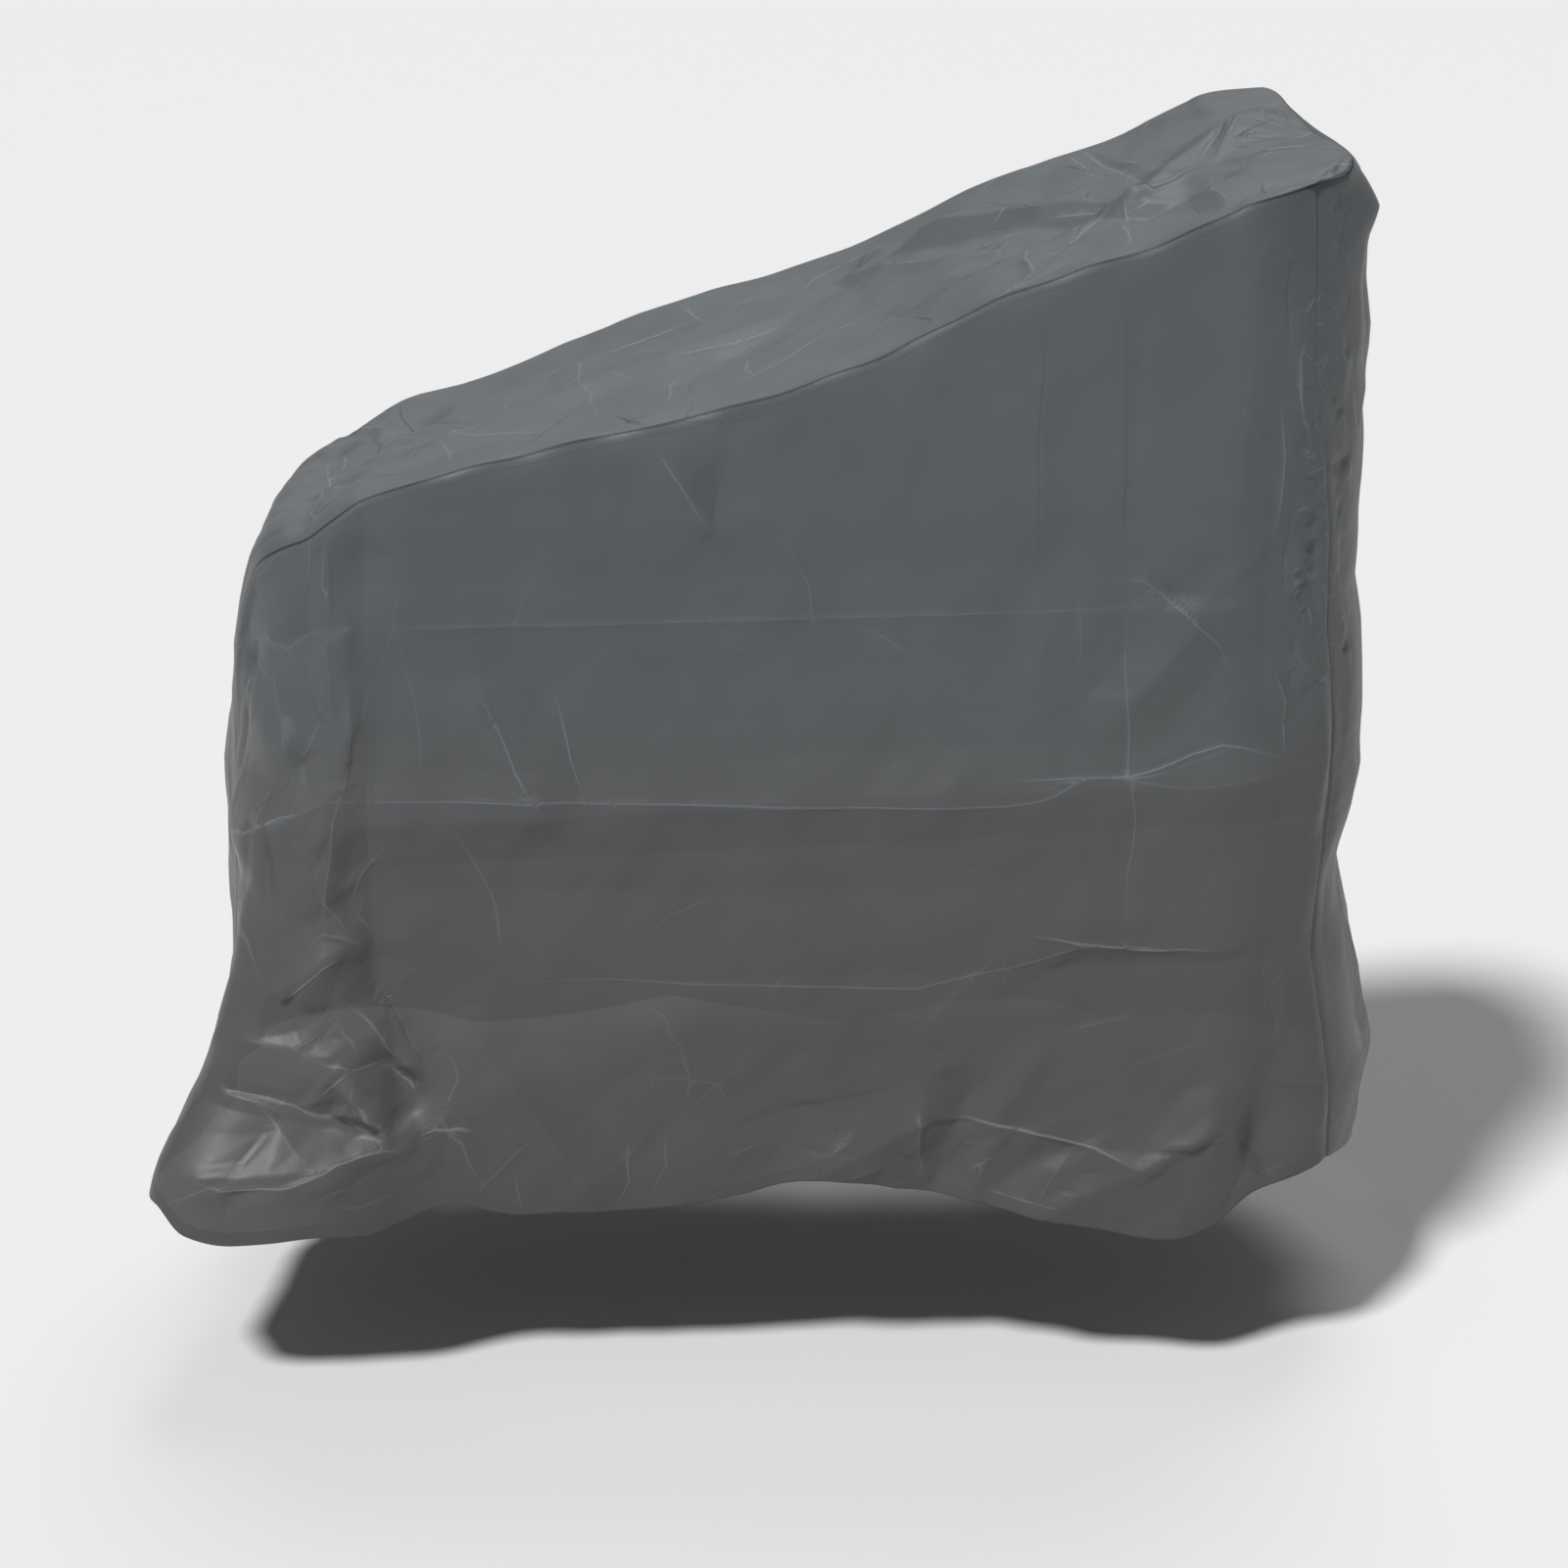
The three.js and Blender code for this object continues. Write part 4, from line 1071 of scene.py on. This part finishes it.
def wander(points):
    """Slow irregular shift of a seam's line, the same for both of its panels."""
    rng = np.random.default_rng(11)
    shift = np.zeros(points.shape)
    for _ in range(6):
        wave = rng.normal(0.0, 1.0, 3)
        wave *= 2.0 * np.pi / rng.uniform(35.0, 90.0) / np.linalg.norm(wave)
        amount = rng.normal(0.0, 0.5, 3)
        shift += np.sin(points @ wave + rng.uniform(0.0, FULL_TURN))[..., None] * amount
    return shift


def ripple(along, seed):
    """Uneven sharp-topped waves along a seam, between about -1 and 1."""
    rng = np.random.default_rng(seed)
    total = np.zeros(np.shape(along))
    for length in RIPPLE_LENGTHS:
        phase, drift = rng.uniform(0.0, 2.0 * np.pi, 2)
        pace = rng.uniform(3.0, 6.0)
        strength = 0.5 + 0.5 * np.sin(along / (length * pace) + drift)
        wave = np.sin(along * np.pi / length + phase + 1.2 * np.sin(along / (length * 2.3) + drift))
        total += strength * (1.0 - 2.0 * np.abs(wave))
    return total / len(RIPPLE_LENGTHS)


def pucker_height(panel, edge, height, reach, seed):
    away = panel.edges[edge]
    along = panel.across if edge == "top" else panel.down
    slant = along + 0.35 * away * np.sin(along / 70.0 + seed)
    spread = reach * (0.75 + 0.5 * np.sin(along / 47.0 + 2.0 * seed))
    rise = 1.0 - np.exp(-away / PUCKER_START)
    return height * ripple(slant, seed) * rise * np.exp(-away / spread)


# %% Roll of the cloth over the top seams
ROLL_HEIGHT = 1.7
ROLL_WIDTH = 32.0


def roll_height(away):
    """A soft shoulder beside a seam, highest at ROLL_WIDTH from it."""
    share = away / ROLL_WIDTH
    return ROLL_HEIGHT * share * np.exp(1.0 - share)


# %% Swell of the whole cloth
SWELL = 1.4
SWELL_LENGTHS = (110.0, 320.0)


def swell(points, seed):
    rng = np.random.default_rng(seed)
    total = np.zeros(points.shape[:2])
    for _ in range(9):
        wave = rng.normal(0.0, 1.0, 3)
        wave *= 2.0 * np.pi / rng.uniform(*SWELL_LENGTHS) / np.linalg.norm(wave)
        total += np.sin(points @ wave + rng.uniform(0.0, FULL_TURN)) * rng.uniform(0.3, 1.0)
    return SWELL * total / 3.0


def shaped(panel, height):
    """Final points: height along the normal, at rest on the seams, then the seams' own groove."""
    settle = soft_step(panel.away / (3.0 * SEAM_REST))
    points = panel.base + panel.normal * (height * settle + panel.roll)[..., None]
    groove = GROOVE_DEPTH * np.exp(-panel.away / GROOVE_WIDTH)
    points = points + inward(panel.base) * groove[..., None]
    return points + wander(panel.base) * (WANDER * np.exp(-panel.away / WANDER_WIDTH))[..., None]


print("near creases:", len(NEAR_CREASES) + len(CORNER_CREASES) + len(HEM_CREASES))

# %% [markdown]
# ## Everything laid on the hanging form
#
# Each panel's height off its base is the sum of its creases, its crinkles, a slow swell, a network of
# faint fold lines and the puckers along its seams. The strongest puckers stand beside the upper part of
# the upright front seam, as on the real cover.

# %% Puckers of each panel
NEAR_PUCKERS = table("edge height reach seed low_down", ("top", 0.9, 10.0, 21), ("last", 6.0, 24.0, 22, 0.3),
                     ("first", 2.0, 18.0, 23))
FAR_PUCKERS = table("edge height reach seed", ("top", 1.4, 12.0, 31), ("last", 2.8, 20.0, 32),
                    ("first", 2.0, 18.0, 33))
STRIP_PUCKERS = table("edge height reach seed", ("first", 1.4, 14.0, 24), ("last", 1.6, 14.0, 34),
                      ("top", 1.8, 18.0, 25))
FRONT_PUCKERS = table("edge height reach seed", ("first", 3.6, 20.0, 26), ("last", 2.4, 20.0, 36),
                      ("top", 1.8, 18.0, 27))
TIGHT_FROM = 560.0
TIGHT_FADE = 90.0
CREASE_RADIUS_PASSES = 1


def puckered(panel, height, puckers):
    """Height with puckers added, each fading to its low_down share below TIGHT_FROM."""
    upper = soft_step((panel.base[..., 2] - TIGHT_FROM) / TIGHT_FADE)
    for row in puckers:
        least = row.get("low_down", 1.0)
        pucker = pucker_height(panel, row["edge"], row["height"], row["reach"], row["seed"])
        height = height + pucker * (least + (1.0 - least) * upper)
    return height


# %% Creases and crinkles of a panel


def creased(panel, u, w, folds, creases, crinkles, seed, clearness=1.0):
    by_hand = hand_paths(panel, u, w, creases)
    scattered = crinkle_paths(panel, u, w, crinkles, np.random.default_rng(seed))
    marks = [(points, crease["line"]) for (points, _), crease in zip(by_hand, creases)]
    add_lines(panel, panel.across, -panel.down, scattered + marks, clearness)
    # Bag folds whose lines carry a painted highlight or a painted shade.
    painted_crease_marks = [(np.array(fold["path"], float), fold["line"]) for fold in folds if fold["line"]]
    add_lines(panel, u, w, painted_crease_marks, clearness)
    height = crease_height(folds, u, w) + facet_height(panel, by_hand + scattered)
    return softened(height, CREASE_RADIUS_PASSES)


# %% Heights of the sides
near_x, near_z = near.base[..., 0], near.base[..., 2]
near_height = creased(near, near_x, near_z, NEAR_BAG_FOLDS, NEAR_CREASES + CORNER_CREASES + HEM_CREASES,
                      NEAR_CRINKLES, seed=3)
near.roll = roll_height(near.edges["top"])
near_height += swell(near.base, seed=5) + crumple(near, 1.6, seed=41)
near_height = puckered(near, near_height, NEAR_PUCKERS)

far_x, far_z = far.base[..., 0], far.base[..., 2]
far_height = creased(far, far_x, far_z, FAR_BAG_FOLDS, FAR_CREASES, FAR_CRINKLES, seed=4)
far.roll = roll_height(far.edges["top"])
far_height += swell(far.base, seed=6) + crumple(far, 1.8, seed=42)
far_height = puckered(far, far_height, FAR_PUCKERS)
print("near side's height off its base, mm:", near_height.min().round(1), near_height.max().round(1))

# %% Heights of the strip and the front
TURN_WIDTH = 25.0

past_turn = strip.down - strip.down[TOP_ROWS - 1]
on_top = soft_step(-past_turn / TURN_WIDTH)
on_rear = soft_step(past_turn / TURN_WIDTH)
strip_x, strip_y, strip_z = np.moveaxis(strip.base, -1, 0)
strip_height = creased(strip, strip_x, np.where(on_top > 0.5, strip_y, np.inf), [], TOP_CREASES,
                       TOP_CRINKLES, seed=7, clearness=2.4) * on_top
strip_height += creased(strip, strip_y, np.where(on_rear > 0.5, strip_z, np.inf), REAR_BAG_FOLDS,
                        REAR_CREASES, UPRIGHT_CRINKLES, seed=8) * on_rear
strip.roll = (roll_height(strip.edges["first"]) + roll_height(strip.edges["last"])) * on_top
strip_height += swell(strip.base, seed=9) + crumple(strip, 1.8, seed=43)
strip_height = puckered(strip, strip_height, STRIP_PUCKERS)

front_y, front_z = front.base[..., 1], front.base[..., 2]
front_height = creased(front, front_y, front_z, FRONT_BAG_FOLDS, FRONT_CREASES,
                       UPRIGHT_CRINKLES + FRONT_EDGE_CRINKLES, seed=10)
front_height += swell(front.base, seed=12) + crumple(front, 1.4, seed=44)
front_height = puckered(front, front_height, FRONT_PUCKERS)
print("front panel's height off its base, mm:", front_height.min().round(1), front_height.max().round(1))

# %% [markdown]
# ## Sheets
#
# A sheet starts as a grid primitive with as many faces as its panel has grid steps, and its vertices
# are then carried to their places. At the hem the cloth turns inwards and runs back up for 18 mm, which
# gives the edge its real double thickness and makes it less see-through than the rest.

# %% Turned hem
HEM_TURN = 18.0
HEM_GAP = 1.4
HEM_RISES = (-0.3, 1.2, 4.5, 9.0, 13.5, HEM_TURN)


def above_hem(rows, drop, height):
    """Values of a panel's columns at one height above the hem, measured along the cloth."""
    place = (len(rows) - 1) * (1.0 - np.clip(height / drop[0], 0.0, 1.0))
    low = np.minimum(place.astype(int), len(rows) - 2)
    share = (place - low)[:, None]
    column = np.arange(rows.shape[1])
    return rows[low, column] * (1.0 - share) + rows[low + 1, column] * share


def with_hem(panel, height):
    points = shaped(panel, height)
    inside = []
    for i, rise in enumerate(HEM_RISES):
        gap = HEM_GAP * min(1.0, (i + 1) / 2.0)
        row = above_hem(points, panel.drop, max(rise, 0.0)) - above_hem(panel.normal, panel.drop, rise) * gap
        row[:, 2] += min(rise, 0.0)
        inside.append(row)
    return np.concatenate([points, inside])


# %% One sheet from a grid primitive


def add_sheet(name, panel, height):
    points = with_hem(panel, height)
    rows, columns = points.shape[:2]
    bpy.ops.object.select_all(action="DESELECT")
    bpy.ops.mesh.primitive_grid_add(x_subdivisions=columns - 1, y_subdivisions=rows - 1, size=2.0)
    sheet = bpy.context.object
    sheet.name = name
    mesh = sheet.data
    flat = np.empty(len(mesh.vertices) * 3)
    mesh.vertices.foreach_get("co", flat)
    flat = flat.reshape(-1, 3).round(5)
    order = np.lexsort((flat[:, 0], -flat[:, 1]))
    placed = np.empty_like(flat)
    placed[order] = to_frame(points).reshape(-1, 3)
    mesh.vertices.foreach_set("co", placed.ravel())

    extra = np.array(HEM_RISES)[:, None]
    down = np.concatenate([panel.down, panel.drop + extra])
    across = np.concatenate([panel.across, np.repeat(panel.across[-1:], len(extra), axis=0)])
    seam = np.concatenate([panel.seam, np.repeat(panel.seam[-1:], len(extra), axis=0)])
    hem = np.concatenate([panel.from_hem, -np.ones_like(across[:len(extra)]) * extra])
    lines = [np.concatenate([field, np.repeat(field[-1:], len(extra), axis=0)]) for field in panel.lines]
    measures = {"seam_distance": seam / 1000.0, "hem_distance": hem / 1000.0,
                "crease_side": lines[0] / 1000.0, "crease_strength": lines[1]}
    for label, values in measures.items():
        attribute = mesh.attributes.new(label, "FLOAT", "POINT")
        spread = np.empty(len(order))
        spread[order] = values.ravel()
        attribute.data.foreach_set("value", spread)
    cloth_place = np.empty((len(order), 2))
    cloth_place[order] = np.stack([across.ravel(), -down.ravel()], axis=1) / 1000.0
    corner = np.empty(len(mesh.loops), int)
    mesh.loops.foreach_get("vertex_index", corner)
    mesh.uv_layers[0].name = "along_cloth"
    mesh.uv_layers[0].data.foreach_set("uv", cloth_place[corner].ravel())
    mesh.update()

    face = mesh.polygons[len(mesh.polygons) // 3]
    nearest = np.argmin(np.linalg.norm(to_frame(panel.base.reshape(-1, 3)) - np.array(face.center), axis=1))
    if np.dot(panel.normal.reshape(-1, 3)[nearest], np.array(face.normal)) < 0.0:
        bpy.ops.object.mode_set(mode="EDIT")
        bpy.ops.mesh.select_all(action="SELECT")
        bpy.ops.mesh.flip_normals()
        bpy.ops.object.mode_set(mode="OBJECT")
    bpy.ops.object.shade_smooth()
    print(name, "faces:", len(mesh.polygons))
    return sheet


near_cloth = add_sheet("near_side_cloth", near, near_height)
far_cloth = add_sheet("far_side_cloth", far, far_height)
strip_cloth = add_sheet("top_and_rear_cloth", strip, strip_height)
front_cloth = add_sheet("front_cloth", front, front_height)

# %% [markdown]
# ## Coated polyester
#
# The cloth is thin woven polyester with a grey waterproof coat. The coat gives it a soft gloss, and
# being thin it lets a little of what is behind it through. Its weave is finer than a tenth of a
# millimetre, so what the eye sees is the coat's own faint grain. Its colour has painted light in it,
# cool and light high up and lighter still where it faces up, and painted shade, warmer and darker low
# down. The painted highlights, partly a scuffed coat, and the painted shade along the creases, the dark
# seam lines and the doubled cloth at the seams and the hem follow the distances that each sheet carries.

# %% Colours and measures of the cloth, in metres
# Painted light and shade by height: the first colour is painted light high up, the second painted shade low
# down.
CLOTH_PAINTED_LIGHT_HIGH = "#525659"
CLOTH_PAINTED_SHADE_LOW = "#4A4949"
# Painted light on what faces up: a lighter colour than the cloth.
CLOTH_PAINTED_TOP_LIGHT = "#64696D"
# Pale crease colour: a painted highlight along creases, partly a scuffed coat.
SCUFF_AND_HIGHLIGHT = "#8A8E92"
# Dark colour of the seam lines, also used for the painted shade along creases.
SEAM_SHADE = "#2A2A2B"
OPACITY = 0.98
SEAM_LINE = 0.0034
ALLOWANCE = 0.0105
HEM_STITCH = 0.016
STEP_WIDTH = 0.0014
LAYER_RISE = 0.00025
CREASE_LINE = 0.0016
CREASE_SLOPE = 0.16
GRAIN_SIZE = 0.0016  # drawn coarser than the real weave, which is too fine to show
MOTTLE_SIZE = 0.09
RUMPLE_SIZE = 0.014

CREASE_FOOT = 0.006  # how far beside a crease its small relief runs out
TONE_LOW_Z = -0.85
TONE_HIGH_Z = -0.05

# %% Painted light and shade by height, painted light on what faces up, and a faint mottle
coated_cloth, tree = new_material("coated_polyester_cloth")
place = add_node(tree, "ShaderNodeTexCoord")
split = add_node(tree, "ShaderNodeSeparateXYZ", inputs={"Vector": place.outputs["Object"]})
# Painted light high up and painted shade low down: the colour runs by height from the low colour to the high
# one.
height_share = add_node(tree, "ShaderNodeMapRange", {"interpolation_type": "SMOOTHSTEP"},
                        {"Value": split.outputs["Z"], "From Min": TONE_LOW_Z, "From Max": TONE_HIGH_Z})
mottle = add_node(tree, "ShaderNodeTexNoise",
                  inputs={"Vector": place.outputs["Object"], "Scale": 1.0 / MOTTLE_SIZE, "Detail": 4.0})
painted_light_by_height = add_node(tree, "ShaderNodeValToRGB", inputs={"Fac": height_share.outputs["Result"]})
painted_light_by_height.color_ramp.elements[0].color = linear(CLOTH_PAINTED_SHADE_LOW)
painted_light_by_height.color_ramp.elements[1].color = linear(CLOTH_PAINTED_LIGHT_HIGH)
# Painted light from above: where the surface faces up, its colour is mixed towards a lighter one.
facing = add_node(tree, "ShaderNodeNewGeometry")
facing_up = add_node(tree, "ShaderNodeSeparateXYZ", inputs={"Vector": facing.outputs["Normal"]})
painted_top_light_share = add_node(tree, "ShaderNodeMapRange", {"interpolation_type": "SMOOTHSTEP"},
                    {"Value": facing_up.outputs["Z"], "From Min": 0.78, "From Max": 0.98, "To Max": 0.85})
painted_top_light = add_node(tree, "ShaderNodeMixRGB", inputs={
    "Fac": painted_top_light_share.outputs["Result"], "Color1": painted_light_by_height.outputs["Color"], "Color2": linear(CLOTH_PAINTED_TOP_LIGHT)})
mottled = add_node(tree, "ShaderNodeMapRange",
                   inputs={"Value": mottle.outputs["Fac"], "From Min": 0.3, "From Max": 0.7,
                           "To Min": 0.95, "To Max": 1.05})
toned = add_node(tree, "ShaderNodeHueSaturation",
                 inputs={"Color": painted_top_light.outputs["Color"], "Value": mottled.outputs["Result"]})

# %% Painted highlights and shade, and relief, along the creases
crease_side = add_node(tree, "ShaderNodeAttribute", {"attribute_name": "crease_side"})
crease_off = add_node(tree, "ShaderNodeMath", {"operation": "ABSOLUTE"}, {0: crease_side.outputs["Fac"]})
crease_strength = add_node(tree, "ShaderNodeAttribute", {"attribute_name": "crease_strength"})
crease_line = add_node(tree, "ShaderNodeMapRange", {"interpolation_type": "SMOOTHSTEP"},
                       {"Value": crease_off.outputs["Value"], "From Min": 0.0, "From Max": CREASE_LINE,
                        "To Min": 1.0, "To Max": 0.0})
crease_mark = add_node(tree, "ShaderNodeMath", {"operation": "MULTIPLY"},
                       {0: crease_line.outputs["Result"], 1: crease_strength.outputs["Fac"]})
# Crease marks above 0 get a pale painted highlight, partly a scuffed coat.
scuff_and_highlight_share = add_node(tree, "ShaderNodeMapRange",
                       inputs={"Value": crease_mark.outputs["Value"], "To Max": 0.42})
scuffed_and_highlighted = add_node(tree, "ShaderNodeMixRGB", inputs={
    "Fac": scuff_and_highlight_share.outputs["Result"], "Color1": toned.outputs["Color"], "Color2": linear(SCUFF_AND_HIGHLIGHT)})
# Crease marks below 0 get a dark painted shade.
painted_crease_shade_share = add_node(tree, "ShaderNodeMapRange",
                         inputs={"Value": crease_mark.outputs["Value"], "From Max": -1.0, "To Max": 0.45})
painted_crease_marks = add_node(tree, "ShaderNodeMixRGB", inputs={
    "Fac": painted_crease_shade_share.outputs["Result"], "Color1": scuffed_and_highlighted.outputs["Color"], "Color2": linear(SEAM_SHADE)})
slope_off = add_node(tree, "ShaderNodeMath", {"operation": "MINIMUM"},
                     {0: crease_off.outputs["Value"], 1: CREASE_FOOT})
crease_rise = add_node(tree, "ShaderNodeMath", {"operation": "MULTIPLY"},
                       {0: slope_off.outputs["Value"], 1: crease_strength.outputs["Fac"]})
crease_bump = add_node(tree, "ShaderNodeBump", {"invert": True},
                       {"Height": crease_rise.outputs["Value"], "Strength": 1.0, "Distance": CREASE_SLOPE})

# %% Seam lines and doubled cloth
seam_distance = add_node(tree, "ShaderNodeAttribute", {"attribute_name": "seam_distance"})
seam_line = add_node(tree, "ShaderNodeMapRange", {"interpolation_type": "SMOOTHSTEP"},
                     {"Value": seam_distance.outputs["Fac"], "From Min": 0.0, "From Max": SEAM_LINE,
                      "To Min": 1.0, "To Max": 0.0})
lined = add_node(tree, "ShaderNodeMixRGB", inputs={
    "Fac": seam_line.outputs["Result"], "Color1": painted_crease_marks.outputs["Color"], "Color2": linear(SEAM_SHADE)})
hem_place = add_node(tree, "ShaderNodeAttribute", {"attribute_name": "hem_distance"})
allowance = add_node(tree, "ShaderNodeMapRange", {"interpolation_type": "SMOOTHSTEP"},
                     {"Value": seam_distance.outputs["Fac"], "From Min": ALLOWANCE - STEP_WIDTH,
                      "From Max": ALLOWANCE, "To Min": 1.0, "To Max": 0.0})
turned = add_node(tree, "ShaderNodeMapRange", {"interpolation_type": "SMOOTHSTEP"},
                  {"Value": hem_place.outputs["Fac"], "From Min": HEM_STITCH - STEP_WIDTH,
                   "From Max": HEM_STITCH, "To Min": 1.0, "To Max": 0.0})
layers = add_node(tree, "ShaderNodeMath", {"operation": "ADD"},
                  {0: allowance.outputs["Result"], 1: turned.outputs["Result"]})
layer_bump = add_node(tree, "ShaderNodeBump",
                      inputs={"Height": layers.outputs["Value"], "Strength": 1.0, "Distance": LAYER_RISE,
                              "Normal": crease_bump.outputs["Normal"]})

# %% Grain and the finished coat
grain = add_node(tree, "ShaderNodeTexNoise",
                 inputs={"Vector": place.outputs["Object"], "Scale": 1.0 / GRAIN_SIZE, "Detail": 2.0})
rumple = add_node(tree, "ShaderNodeTexNoise",
                  inputs={"Vector": place.outputs["Object"], "Scale": 1.0 / RUMPLE_SIZE, "Detail": 3.0,
                          "Roughness": 0.6, "Distortion": 0.6})
rumple_bump = add_node(tree, "ShaderNodeBump",
                       inputs={"Height": rumple.outputs["Fac"], "Strength": 0.5, "Distance": 0.0006,
                               "Normal": layer_bump.outputs["Normal"]})
grain_bump = add_node(tree, "ShaderNodeBump",
                      inputs={"Height": grain.outputs["Fac"], "Strength": 0.4, "Distance": 0.0001,
                              "Normal": rumple_bump.outputs["Normal"]})
shader = add_node(tree, "ShaderNodeBsdfPrincipled",
                  inputs={"Base Color": lined.outputs["Color"], "Alpha": OPACITY, "Roughness": 0.5,
                          "Specular IOR Level": 0.4, "Sheen Weight": 0.12, "Sheen Roughness": 0.4,
                          "Normal": grain_bump.outputs["Normal"]})
add_node(tree, "ShaderNodeOutputMaterial", inputs={"Surface": shader.outputs["BSDF"]})
print("nodes in the cloth's material:", len(tree.nodes))

# %% Give each sheet the cloth, attach it to the root and hide the solid it replaces
SHEETS = table("cloth panel node",
    (near_cloth, near, "near_side_panel"), (far_cloth, far, "far_side_panel"),
    (strip_cloth, strip, "top_and_rear_strip"), (front_cloth, front, "front_panel"),
)
for row in SHEETS:
    cloth, panel = row["cloth"], row["panel"]
    cloth.data.materials.clear()
    cloth.data.materials.append(coated_cloth)
    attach(cloth, "root")
    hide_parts(row["node"])

# %% Sizes
bpy.context.view_layer.update()
visual_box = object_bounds()
visual_size = visual_box[1] - visual_box[0]
print("visual box, m:", [round(value, 3) for value in visual_size])
